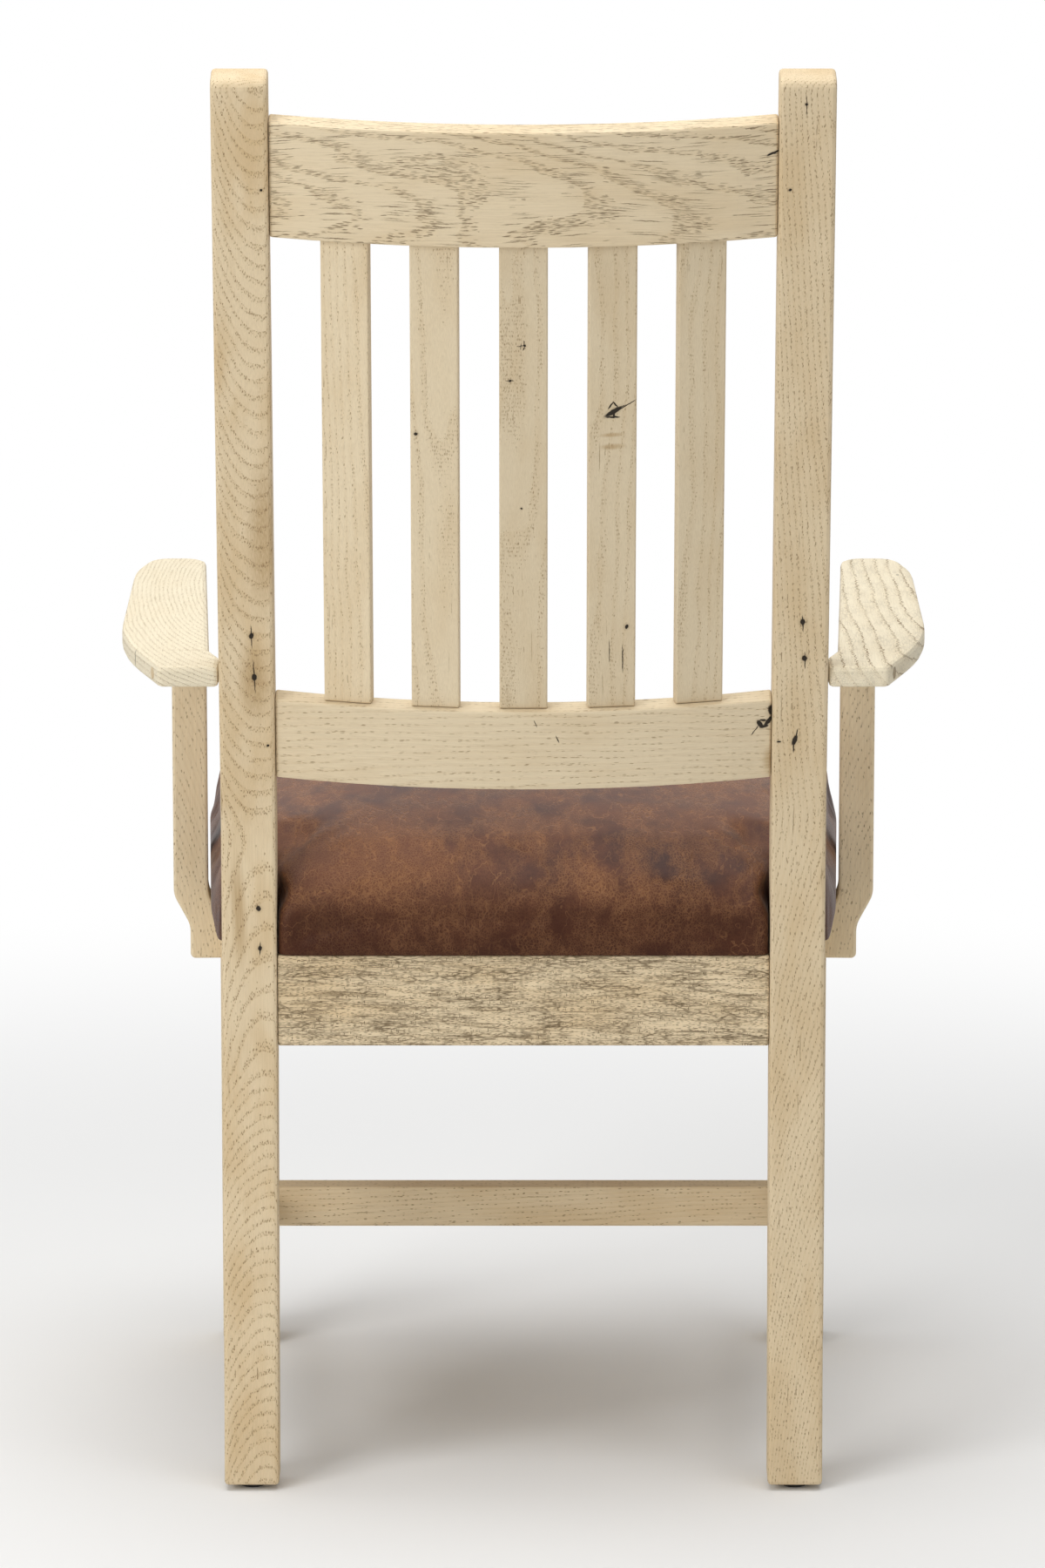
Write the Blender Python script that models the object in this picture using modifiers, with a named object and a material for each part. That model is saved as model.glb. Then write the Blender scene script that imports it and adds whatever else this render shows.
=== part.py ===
# Farmhouse armchair: a bleached oak frame with a raked slat back, shaped arms and a leather seat.
# Metres, +Z up. The chair faces -Y and +X is the sitter's left. While the chair is put together,
# Y = 0 is the rear face of the back posts at the seat; the last step centres it on the origin.

import math

import bmesh
import bpy
from mathutils import Matrix, Vector

# Gap at every fit between two pieces, and the tolerances of the meshes
FIT = 0.0003
WELD = 0.00001
SHARP_ANGLE = math.radians(40.0)
FLAT_ANGLE = math.radians(0.3)

# Back posts: rear leg and back upright, sawn as one piece with a bend above the seat
POST_WIDTH = 0.0413
POST_DEPTH = 0.038
POST_TOP_DEPTH = 0.035
POST_SPACING = 0.4116
POST_TOP_ROUND = 0.008
POST_BEND_RADIUS = 0.25
POST_EASE = 0.0028
BEND_ABOVE_SEAT_RAIL = 0.098
BACK_LENGTH = 0.585
BACK_RAKE = math.radians(10.0)
FOOT_SPLAY = math.radians(5.0)
KNEE_BELOW_SEAT_RAIL = 0.018

# Bowed back rails, measured up the lean of the back from the bend in the posts
BACK_RAIL_THICKNESS = 0.022
BACK_RAIL_BOW = 0.025
BACK_RAIL_INSET = 0.004
BACK_RAIL_EASE = 0.0018
CREST_TOP = 0.5517
CREST_HEIGHT = 0.0876
LOWER_RAIL_TOP = 0.1024
LOWER_RAIL_HEIGHT = 0.0625

# Back slats, set round the bow of the rails
SLAT_COUNT = 5
SLAT_PITCH = 0.0648
SLAT_WIDTH = 0.0355
SLAT_THICKNESS = 0.011
SLAT_INSET = 0.0065
SLAT_EASE = 0.0012
SLAT_TENON_WIDTH = 0.026
SLAT_TENON_THICKNESS = 0.006
SLAT_TENON_LENGTH = 0.012

# Seat frame and front legs
SEAT_RAIL_TOP = 0.410
SEAT_RAIL_HEIGHT = 0.070
SEAT_RAIL_THICKNESS = 0.022
SEAT_RAIL_INSET = 0.003
SEAT_RAIL_EASE = 0.0015
SEAT_DEPTH = 0.412
LEG_WIDTH = 0.0413
LEG_SPACING = 0.4414
LEG_EASE = 0.0028

# Tenons of the rails
TENON_THICKNESS = 0.009
TENON_LENGTH = 0.018
TENON_SHOULDER = 0.010
TENON_ROOT = 0.010

# Stretchers between the legs
STRETCHER_HEIGHT = 0.032
STRETCHER_THICKNESS = 0.022
STRETCHER_LEVEL = 0.165
STRETCHER_EASE = 0.002
STRETCHER_TENON_LENGTH = 0.012

# Corner blocks under the seat
BLOCK_REACH = 0.085
BLOCK_HEIGHT = 0.032
BLOCK_BELOW_RAIL_TOP = 0.004
BLOCK_SCREW_PLACE = 0.6

# Arms: boards with a narrow rear end against the posts and a bowed outer edge
ARM_THICKNESS = 0.016
ARM_ABOVE_SEAT_RAIL = 0.2256
ARM_LENGTH = 0.4345
ARM_REAR_INSET = 0.0035
ARM_REAR_WIDTH = 0.045
ARM_REAR_TAPER = 0.115
ARM_REACH = 0.0795
ARM_REAR_ROUND = 0.005
ARM_BOW_RADIUS = 0.42
ARM_NECK = 0.0095
ARM_NECK_LENGTH = 0.030
ARM_NECK_RADIUS = 0.03
ARM_FLARE = 0.016
ARM_NOSE_LENGTH = 0.055
ARM_NOSE_TAPER = 0.0115
ARM_NOSE_RADIUS = 0.20
ARM_NOSE_ROUND = 0.018
ARM_EDGE_ROUND = 0.0035

# Arm posts: curved feet lapped on the outside of the side rails
ARM_POST_PLACE = 0.236
ARM_POST_THICKNESS = 0.027
ARM_POST_DEPTH = 0.038
ARM_POST_DROP = 0.0535
ARM_POST_TOE_ROUND = 0.004
ARM_POST_CLEARANCE = 0.0016
ARM_POST_CURVE_TOP = -0.003
ARM_POST_CURVE_DROP = 0.024
ARM_POST_CURVE_RADIUS = 0.022
ARM_POST_EASE = 0.0022
ARM_POST_TENON = (0.016, 0.022, 0.009)
ARM_POST_SCREW_DROPS = (0.036, 0.047)

# Seat: plywood board, foam and a leather cover that turns under the board
SEAT_OVERHANG = 0.0115
SEAT_REAR_INSET = 0.002
SEAT_POST_CLEARANCE = 0.001
BOARD_THICKNESS = 0.012
BOARD_CORNER_RADIUS = 0.036
BOARD_TONGUE_ROUND = 0.8
LEATHER_THICKNESS = 0.0025
PADDING_CLEARANCE = 0.0015
BOARD_CLEARANCE = 0.003
CUSHION_EDGE_HEIGHT = 0.074
CUSHION_CROWN = 0.011
CUSHION_REAR_ROLL = 0.022
CUSHION_ROLL_POWER = 8
CUSHION_BELLY = 0.45
CUSHION_DRAW_IN = 0.985
CUSHION_SHOULDER = 0.972
CUSHION_TURN_UNDER = 0.94
CUSHION_COLUMNS = 8
CUSHION_ROWS = 5
CUSHION_EDGE_ROW = 0.027

# Screws, plugs and glides
SCREW_RADIUS = 0.002
SCREW_HEAD_RADIUS = 0.004
SCREW_HEAD_HEIGHT = 0.003
SCREW_TIP = 0.004
SCREW_BITE = 0.008
PLUG_RADIUS = 0.0045
PLUG_LENGTH = 0.008
ARM_SCREW_BITE = 0.020
ARM_POST_SCREW_BITE = 0.015
GLIDE_RADIUS = 0.011
GLIDE_HEIGHT = 0.004
GLIDE_PIN_RADIUS = 0.0015
GLIDE_PIN_LENGTH = 0.012
TURNED_STEPS = 12

# Places that follow from those sizes
POST_X = POST_SPACING / 2
LEG_X = LEG_SPACING / 2
LEG_Y = LEG_WIDTH / 2 - SEAT_DEPTH
POST_INNER = POST_X - POST_WIDTH / 2
POST_OUTER = POST_X + POST_WIDTH / 2
LEG_INNER = LEG_X - LEG_WIDTH / 2
LEG_REAR = LEG_Y + LEG_WIDTH / 2
LEG_FOOT = GLIDE_HEIGHT + FIT
BEND_LEVEL = SEAT_RAIL_TOP + BEND_ABOVE_SEAT_RAIL
KNEE_LEVEL = SEAT_RAIL_TOP - SEAT_RAIL_HEIGHT - KNEE_BELOW_SEAT_RAIL
RAIL_FACE_AT_POST = POST_OUTER - SEAT_RAIL_INSET
RAIL_FACE_AT_LEG = LEG_X + LEG_WIDTH / 2 - SEAT_RAIL_INSET
SEAT_SPLAY = (RAIL_FACE_AT_LEG - RAIL_FACE_AT_POST) / (-POST_DEPTH / 2 - LEG_Y)
SEAT_YAW = math.atan(SEAT_SPLAY)
ARM_POST_JOG = SEAT_OVERHANG + ARM_POST_CLEARANCE
ARM_UNDERSIDE = SEAT_RAIL_TOP + ARM_ABOVE_SEAT_RAIL - ARM_THICKNESS
ARM_MIDDLE = ARM_UNDERSIDE + ARM_THICKNESS / 2
CUSHION_BOTTOM = SEAT_RAIL_TOP + FIT
BOARD_BOTTOM = CUSHION_BOTTOM + LEATHER_THICKNESS + FIT
SIDES = (("left", 1), ("right", -1))
ON_SIDE = (math.pi / 2, 0.0, math.pi / 2)


# Scene, collections and the frames that the pieces hang on
for old in list(bpy.data.objects):
    bpy.data.objects.remove(old, do_unlink=True)

parts = bpy.data.collections.new("farmhouse_armchair")
cutters = bpy.data.collections.new("joinery_cutters")
for collection in (parts, cutters):
    bpy.context.scene.collection.children.link(collection)

chair = bpy.data.objects.new("armchair_frame", None)
back = bpy.data.objects.new("back_lean", None)
parts.objects.link(chair)
parts.objects.link(back)
back.parent = chair
back.location.z = BEND_LEVEL
back.rotation_euler.x = -BACK_RAKE


def finish(name, colour, roughness, metallic=0.0):
    """A plain material with the colour of the real surface."""
    material = bpy.data.materials.new(name)
    material.use_nodes = True
    shader = material.node_tree.nodes["Principled BSDF"]
    shader.inputs["Base Color"].default_value = (*colour, 1.0)
    shader.inputs["Roughness"].default_value = roughness
    shader.inputs["Metallic"].default_value = metallic
    return material


bleached_oak = finish("bleached_oak", (0.60, 0.48, 0.31), 0.62)
chestnut_leather = finish("chestnut_leather", (0.13, 0.055, 0.032), 0.45)
birch_ply = finish("birch_ply", (0.58, 0.44, 0.27), 0.7)
seat_padding = finish("seat_padding", (0.78, 0.72, 0.55), 0.95)
zinc_steel = finish("zinc_steel", (0.55, 0.55, 0.53), 0.35, 1.0)
dark_nylon = finish("dark_nylon", (0.03, 0.028, 0.026), 0.5)


def place(name, mesh, material, location=(0, 0, 0), rotation=(0, 0, 0), parent=chair):
    """Put a mesh in the chair as a named piece."""
    piece = bpy.data.objects.new(name, mesh)
    parts.objects.link(piece)
    piece.parent = parent
    piece.location = location
    piece.rotation_euler = rotation
    mesh.materials.clear()
    mesh.materials.append(material)
    return piece


def hide(piece):
    """Make a piece a cutter: out of the chair, shown as wires."""
    parts.objects.unlink(piece)
    cutters.objects.link(piece)
    piece.hide_render = True
    piece.display_type = "WIRE"
    return piece


def cut(piece, tool, operation="DIFFERENCE"):
    """Cut a piece with a tool, join them or keep what they share."""
    boolean = piece.modifiers.new(tool.name, "BOOLEAN")
    boolean.operation = operation
    boolean.object = tool
    boolean.solver = "EXACT"


def ease(piece, width, segments=2):
    """Round the sharp edges of a piece."""
    bevel = piece.modifiers.new("eased_edges", "BEVEL")
    bevel.width = width
    bevel.segments = segments
    bevel.limit_method = "ANGLE"
    bevel.angle_limit = SHARP_ANGLE
    bevel.use_clamp_overlap = False


def block_mesh(name, size, splay=0.0):
    """A box round the origin, with its X shifted along Y by a splay."""
    bm = bmesh.new()
    bmesh.ops.create_cube(bm, size=1.0)
    bmesh.ops.scale(bm, vec=size, verts=bm.verts)
    shear = Matrix.Identity(4)
    shear[0][1] = splay
    bmesh.ops.transform(bm, matrix=shear, verts=bm.verts)
    mesh = bpy.data.meshes.new(name)
    bm.to_mesh(mesh)
    bm.free()
    return mesh


def rounded(corners, steps=5):
    """Closed outline through corners (x, y, radius), with an arc of that radius at each."""
    points = []
    for index, (x, y, radius) in enumerate(corners):
        corner = Vector((x, y))
        if radius == 0:
            points.append(corner)
            continue
        before = (Vector(corners[index - 1][:2]) - corner).normalized()
        after = (Vector(corners[(index + 1) % len(corners)][:2]) - corner).normalized()
        half_angle = before.angle(after) / 2
        centre = corner + (before + after).normalized() * (radius / math.sin(half_angle))
        reach = radius / math.tan(half_angle)
        start = corner + before * reach - centre
        turn = start.angle_signed(corner + after * reach - centre)
        points += [centre + Matrix.Rotation(-turn * step / steps, 2) @ start for step in range(steps + 1)]
    return points


def slab_mesh(name, outline, thickness, splay=0.0):
    """A flat outline, thickened on both sides of its plane; a splay shifts Z along X."""
    curve = bpy.data.curves.new(name, "CURVE")
    curve.dimensions = "2D"
    curve.fill_mode = "BOTH"
    curve.extrude = thickness / 2
    spline = curve.splines.new("POLY")
    spline.points.add(len(outline) - 1)
    for point, (x, y) in zip(spline.points, outline):
        point.co = (x, y, 0.0, 1.0)
    spline.use_cyclic_u = True
    guide = bpy.data.objects.new(name + "_outline", curve)
    parts.objects.link(guide)
    evaluated = guide.evaluated_get(bpy.context.evaluated_depsgraph_get())
    mesh = bpy.data.meshes.new_from_object(evaluated)
    bpy.data.objects.remove(guide)
    bm = bmesh.new()
    bm.from_mesh(mesh)
    bmesh.ops.remove_doubles(bm, verts=bm.verts, dist=WELD)
    bmesh.ops.dissolve_limit(bm, angle_limit=FLAT_ANGLE, verts=bm.verts, edges=bm.edges)
    shear = Matrix.Identity(4)
    shear[2][0] = splay
    bmesh.ops.transform(bm, matrix=shear, verts=bm.verts)
    bmesh.ops.recalc_face_normals(bm, faces=bm.faces)
    bm.to_mesh(mesh)
    bm.free()
    return mesh


def mirrored(corners, side):
    """Corners of an outline for the left side, or turned over for the right."""
    return [(side * x, *rest) for x, *rest in corners]


def tenon(rail, post, size, location, parent=chair, splay=0.0, yaw=0.0):
    """Join a tongue to a rail and cut its mortise in a post, with the fit all round."""
    tongue_mesh = block_mesh(rail.name + "_tongue", size, splay)
    tongue = place(rail.name + "_tongue", tongue_mesh, bleached_oak, location, (0, 0, yaw), parent)
    pocket_size = [edge + 2 * FIT for edge in size]
    pocket_mesh = block_mesh(post.name + "_mortise", pocket_size, splay)
    pocket = place(post.name + "_mortise", pocket_mesh, bleached_oak, location, (0, 0, yaw), parent)
    cut(rail, hide(tongue), "UNION")
    cut(post, hide(pocket))


def turned(name, profile, material, location, rotation=(0, 0, 0), parent=chair):
    """A round piece: a profile of (radius, height), top to bottom, turned about its own Z."""
    mesh = bpy.data.meshes.new(name)
    edges = [(index, index + 1) for index in range(len(profile) - 1)]
    mesh.from_pydata([(radius, 0.0, height) for radius, height in profile], edges, [])
    piece = place(name, mesh, material, location, rotation, parent)
    screw = piece.modifiers.new("turned", "SCREW")
    screw.steps = TURNED_STEPS
    screw.render_steps = TURNED_STEPS
    screw.use_merge_vertices = True
    screw.merge_threshold = WELD
    screw.use_smooth_shade = True
    return piece


def drive_screw(name, length, location, rotation, pieces):
    """A screw with its head at a place, and its hole in the pieces that it passes through."""
    profile = [(0, 0), (SCREW_HEAD_RADIUS, 0), (SCREW_RADIUS, -SCREW_HEAD_HEIGHT),
               (SCREW_RADIUS, SCREW_TIP - length), (0, -length)]
    turned(name, profile, zinc_steel, location, rotation)
    hole_profile = [(0, SCREW_HEAD_HEIGHT), (SCREW_HEAD_RADIUS + FIT, SCREW_HEAD_HEIGHT),
                    (SCREW_HEAD_RADIUS + FIT, -FIT), (SCREW_RADIUS + FIT, -SCREW_HEAD_HEIGHT - FIT),
                    (SCREW_RADIUS + FIT, -length - FIT), (0, -length - FIT)]
    hole = hide(turned(name + "_hole", hole_profile, zinc_steel, location, rotation))
    for piece in pieces:
        cut(piece, hole)


def rail_face(y):
    """How far the outer face of a side rail stands from the middle of the chair."""
    return RAIL_FACE_AT_POST + SEAT_SPLAY * (-POST_DEPTH / 2 - y)


def post_front(level):
    """The front face of a back post below the knee."""
    return -POST_DEPTH + (KNEE_LEVEL - POST_DEPTH * math.tan(FOOT_SPLAY / 2) - level) * math.tan(FOOT_SPLAY)


# Back posts: side view outline, from the rear of the foot up and round
lean = Vector((math.sin(BACK_RAKE), math.cos(BACK_RAKE)))
post_top = Vector((0, BEND_LEVEL)) + lean * BACK_LENGTH
post_top_front = post_top + Vector((-lean.y, lean.x)) * POST_TOP_DEPTH
post_outline = rounded([
    ((KNEE_LEVEL - LEG_FOOT) * math.tan(FOOT_SPLAY), LEG_FOOT, 0),
    (0, KNEE_LEVEL, POST_BEND_RADIUS),
    (0, BEND_LEVEL, POST_BEND_RADIUS),
    (*post_top, POST_TOP_ROUND),
    (*post_top_front, POST_TOP_ROUND),
    (-POST_DEPTH, BEND_LEVEL + POST_DEPTH * math.tan(BACK_RAKE / 2), POST_BEND_RADIUS),
    (-POST_DEPTH, KNEE_LEVEL - POST_DEPTH * math.tan(FOOT_SPLAY / 2), POST_BEND_RADIUS),
    (post_front(LEG_FOOT), LEG_FOOT, 0),
])
back_posts = {}
for hand, side in SIDES:
    name = "back_post_" + hand
    mesh = slab_mesh(name, post_outline, POST_WIDTH)
    back_posts[hand] = place(name, mesh, bleached_oak, (side * POST_X, 0, 0), ON_SIDE)
    ease(back_posts[hand], POST_EASE)


# Bowed rails of the back, in the lean of the back
bow_half = POST_INNER - FIT
bow_radius = (bow_half ** 2 + BACK_RAIL_BOW ** 2) / (2 * BACK_RAIL_BOW)
bow_centre = BACK_RAIL_BOW - BACK_RAIL_INSET - bow_radius


def bow_arc(radius, steps=12):
    """Points on the bow at a radius, from one post to the other."""
    reach = math.asin(bow_half / radius)
    angles = [reach * (2 * step / steps - 1) for step in range(steps + 1)]
    return [(radius * math.sin(angle), bow_centre + radius * math.cos(angle)) for angle in angles]


def bowed_rail(name, top, height):
    """A rail sawn to the bow, with a tenon into each back post."""
    outline = bow_arc(bow_radius) + bow_arc(bow_radius - BACK_RAIL_THICKNESS)[::-1]
    middle = top - height / 2
    rail = place(name, slab_mesh(name, outline, height), bleached_oak, (0, 0, middle), parent=back)
    ease(rail, BACK_RAIL_EASE)
    size = (TENON_LENGTH + TENON_ROOT, TENON_THICKNESS, height - 2 * TENON_SHOULDER)
    for hand, side in SIDES:
        x = side * (bow_half + (TENON_LENGTH - TENON_ROOT) / 2)
        y = -BACK_RAIL_INSET - BACK_RAIL_THICKNESS / 2
        tenon(rail, back_posts[hand], size, (x, y, middle), back)
    return rail


crest_rail = bowed_rail("crest_rail", CREST_TOP, CREST_HEIGHT)
lower_back_rail = bowed_rail("lower_back_rail", LOWER_RAIL_TOP, LOWER_RAIL_HEIGHT)


# Slats, each turned to face the middle of the bow
slat_radius = bow_radius - SLAT_INSET - SLAT_THICKNESS / 2
slat_foot = LOWER_RAIL_TOP + FIT
slat_head = CREST_TOP - CREST_HEIGHT - FIT
for number in range(SLAT_COUNT):
    name = "back_slat_%d" % (number + 1)
    x = SLAT_PITCH * ((SLAT_COUNT - 1) / 2 - number)
    turn = math.asin(x / slat_radius)
    y = bow_centre + slat_radius * math.cos(turn)
    mesh = block_mesh(name, (SLAT_WIDTH, SLAT_THICKNESS, slat_head - slat_foot))
    slat = place(name, mesh, bleached_oak, (x, y, (slat_head + slat_foot) / 2), (0, 0, -turn), back)
    ease(slat, SLAT_EASE)
    size = (SLAT_TENON_WIDTH, SLAT_TENON_THICKNESS, SLAT_TENON_LENGTH * 2)
    tenon(slat, crest_rail, size, (x, y, slat_head), back, yaw=-turn)
    tenon(slat, lower_back_rail, size, (x, y, slat_foot), back, yaw=-turn)


# Front legs
front_legs = {}
leg_height = SEAT_RAIL_TOP - LEG_FOOT
for hand, side in SIDES:
    name = "front_leg_" + hand
    mesh = block_mesh(name, (LEG_WIDTH, LEG_WIDTH, leg_height))
    place_of_leg = (side * LEG_X, LEG_Y, LEG_FOOT + leg_height / 2)
    front_legs[hand] = place(name, mesh, bleached_oak, place_of_leg)
    ease(front_legs[hand], LEG_EASE)


# Seat rails: one behind, one in front and one on each splayed side
rail_middle = SEAT_RAIL_TOP - SEAT_RAIL_HEIGHT / 2
rail_tenon_height = SEAT_RAIL_HEIGHT - 2 * TENON_SHOULDER
cross_rails = (
    ("seat_rail_back", back_posts, POST_INNER, -SEAT_RAIL_INSET - SEAT_RAIL_THICKNESS / 2),
    ("seat_rail_front", front_legs, LEG_INNER, -SEAT_DEPTH + SEAT_RAIL_INSET + SEAT_RAIL_THICKNESS / 2),
)
for name, legs, reach, y in cross_rails:
    half = reach - FIT
    mesh = block_mesh(name, (2 * half, SEAT_RAIL_THICKNESS, SEAT_RAIL_HEIGHT))
    rail = place(name, mesh, bleached_oak, (0, y, rail_middle))
    ease(rail, SEAT_RAIL_EASE)
    size = (TENON_LENGTH + TENON_ROOT, TENON_THICKNESS, rail_tenon_height)
    for hand, side in SIDES:
        x = side * (half + (TENON_LENGTH - TENON_ROOT) / 2)
        tenon(rail, legs[hand], size, (x, y, rail_middle))

side_rails = {}
side_rear = -POST_DEPTH - FIT
side_front = LEG_REAR + FIT
for hand, side in SIDES:
    name = "seat_rail_" + hand
    splay = -side * SEAT_SPLAY
    y = (side_rear + side_front) / 2
    x = rail_face(y) - SEAT_RAIL_THICKNESS / 2
    mesh = block_mesh(name, (SEAT_RAIL_THICKNESS, side_rear - side_front, SEAT_RAIL_HEIGHT), splay)
    rail = place(name, mesh, bleached_oak, (side * x, y, rail_middle))
    ease(rail, SEAT_RAIL_EASE)
    side_rails[hand] = rail
    size = (TENON_THICKNESS, TENON_LENGTH + TENON_ROOT, rail_tenon_height)
    for leg, end, out in ((back_posts[hand], side_rear, 1), (front_legs[hand], side_front, -1)):
        y = end + out * (TENON_LENGTH - TENON_ROOT) / 2
        x = rail_face(y) - SEAT_RAIL_THICKNESS / 2
        tenon(rail, leg, size, (side * x, y, rail_middle), splay=splay)


# Stretchers: one on each side from leg to leg, and one across between them
stretcher_splay = (LEG_X - POST_X) / (-POST_DEPTH / 2 - LEG_Y)
stretcher_low = STRETCHER_LEVEL - STRETCHER_HEIGHT / 2
stretcher_high = STRETCHER_LEVEL + STRETCHER_HEIGHT / 2
stretcher_tenon_height = STRETCHER_HEIGHT - TENON_SHOULDER


def stretcher_x(y):
    """Middle of a side stretcher, from the middle of the chair."""
    return POST_X + stretcher_splay * (-POST_DEPTH / 2 - y)


side_stretchers = {}
for hand, side in SIDES:
    name = "side_stretcher_" + hand
    outline = [(side_front, stretcher_low), (post_front(stretcher_low) - FIT, stretcher_low),
               (post_front(stretcher_high) - FIT, stretcher_high), (side_front, stretcher_high)]
    splay = -side * stretcher_splay
    mesh = slab_mesh(name, outline, STRETCHER_THICKNESS, splay)
    stretcher = place(name, mesh, bleached_oak, (side * stretcher_x(0), 0, 0), ON_SIDE)
    ease(stretcher, STRETCHER_EASE)
    side_stretchers[hand] = stretcher
    size = (TENON_THICKNESS, STRETCHER_TENON_LENGTH + TENON_ROOT, stretcher_tenon_height)
    rear_end = post_front(STRETCHER_LEVEL) - FIT
    for leg, end, out in ((back_posts[hand], rear_end, 1), (front_legs[hand], side_front, -1)):
        y = end + out * (STRETCHER_TENON_LENGTH - TENON_ROOT) / 2
        tenon(stretcher, leg, size, (side * stretcher_x(y), y, STRETCHER_LEVEL), splay=splay)

cross_y = (side_front + post_front(STRETCHER_LEVEL)) / 2
cross_half = stretcher_x(cross_y) - STRETCHER_THICKNESS / 2 - FIT
cross_ends = [(-1, cross_y - STRETCHER_THICKNESS / 2), (1, cross_y - STRETCHER_THICKNESS / 2),
              (1, cross_y + STRETCHER_THICKNESS / 2), (-1, cross_y + STRETCHER_THICKNESS / 2)]
cross_outline = [(end * (stretcher_x(y) - STRETCHER_THICKNESS / 2 - FIT), y) for end, y in cross_ends]
cross_mesh = slab_mesh("cross_stretcher", cross_outline, STRETCHER_HEIGHT)
cross_stretcher = place("cross_stretcher", cross_mesh, bleached_oak, (0, 0, STRETCHER_LEVEL))
ease(cross_stretcher, STRETCHER_EASE)
cross_tenon = (STRETCHER_TENON_LENGTH + TENON_ROOT, TENON_THICKNESS, stretcher_tenon_height)
for hand, side in SIDES:
    x = side * (cross_half + (STRETCHER_TENON_LENGTH - TENON_ROOT) / 2)
    tenon(cross_stretcher, side_stretchers[hand], cross_tenon, (x, cross_y, STRETCHER_LEVEL))


# Arms: plan outline of the left one, from the rear corner at the post round the outside
post_rear_at_arm = (ARM_MIDDLE - BEND_LEVEL) * math.tan(BACK_RAKE)
post_front_at_arm = post_rear_at_arm - POST_DEPTH / math.cos(BACK_RAKE)
arm_rear = post_rear_at_arm - ARM_REAR_INSET
arm_front = arm_rear - ARM_LENGTH
arm_inner = POST_OUTER + FIT
arm_outer = POST_OUTER + ARM_REACH
arm_neck_inner = POST_OUTER + ARM_NECK
arm_corners = [
    (arm_inner, arm_rear, 0),
    (arm_inner + ARM_REAR_WIDTH, arm_rear, ARM_REAR_ROUND),
    (arm_outer, arm_rear - ARM_REAR_TAPER, ARM_BOW_RADIUS),
    (arm_outer, arm_front + ARM_NOSE_LENGTH, ARM_NOSE_RADIUS),
    (arm_outer - ARM_NOSE_TAPER, arm_front, ARM_NOSE_ROUND),
    (arm_neck_inner + ARM_FLARE, arm_front, ARM_NOSE_ROUND),
    (arm_neck_inner, post_front_at_arm - ARM_NECK_LENGTH, ARM_NECK_RADIUS),
    (arm_inner, post_front_at_arm, 0),
]
arms = {}
for hand, side in SIDES:
    name = "arm_" + hand
    mesh = slab_mesh(name, rounded(mirrored(arm_corners, side)), ARM_THICKNESS)
    arms[hand] = place(name, mesh, bleached_oak, (0, 0, ARM_MIDDLE))
    ease(arms[hand], ARM_EDGE_ROUND)


# Arm posts: front view outline of the left one, from the rail face out and the rail top up
curve_low = ARM_POST_CURVE_TOP - ARM_POST_CURVE_DROP
arm_post_head = ARM_UNDERSIDE - FIT - SEAT_RAIL_TOP
arm_post_corners = [
    (FIT, -ARM_POST_DROP, 0),
    (FIT + ARM_POST_THICKNESS, -ARM_POST_DROP, ARM_POST_TOE_ROUND),
    (FIT + ARM_POST_THICKNESS, curve_low, ARM_POST_CURVE_RADIUS),
    (ARM_POST_JOG + ARM_POST_THICKNESS, ARM_POST_CURVE_TOP, ARM_POST_CURVE_RADIUS),
    (ARM_POST_JOG + ARM_POST_THICKNESS, arm_post_head, 0),
    (ARM_POST_JOG, arm_post_head, 0),
    (ARM_POST_JOG, ARM_POST_CURVE_TOP, ARM_POST_CURVE_RADIUS),
    (FIT, curve_low, ARM_POST_CURVE_RADIUS),
]
for hand, side in SIDES:
    name = "arm_post_" + hand
    yaw = side * SEAT_YAW
    foot = Vector((side * rail_face(-ARM_POST_PLACE), -ARM_POST_PLACE, SEAT_RAIL_TOP))
    outward = Vector((side * math.cos(SEAT_YAW), math.sin(SEAT_YAW), 0))
    mesh = slab_mesh(name, rounded(mirrored(arm_post_corners, side)), ARM_POST_DEPTH)
    arm_post = place(name, mesh, bleached_oak, foot, (math.pi / 2, 0, yaw))
    ease(arm_post, ARM_POST_EASE)
    tongue_width, tongue_depth, tongue_height = ARM_POST_TENON
    tongue_place = foot + outward * (ARM_POST_JOG + ARM_POST_THICKNESS / 2)
    tongue_place.z = ARM_UNDERSIDE - FIT
    tongue_size = (tongue_width, tongue_depth, 2 * tongue_height)
    tenon(arm_post, arms[hand], tongue_size, tongue_place, yaw=yaw)
    for number, drop in enumerate(ARM_POST_SCREW_DROPS):
        head = foot - outward * (SEAT_RAIL_THICKNESS * math.cos(SEAT_YAW) - FIT) - Vector((0, 0, drop))
        screw_name = "arm_post_screw_%s_%d" % (hand, number + 1)
        length = SEAT_RAIL_THICKNESS + ARM_POST_SCREW_BITE
        drive_screw(screw_name, length, head, (0, -side * math.pi / 2, yaw), [side_rails[hand], arm_post])


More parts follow.
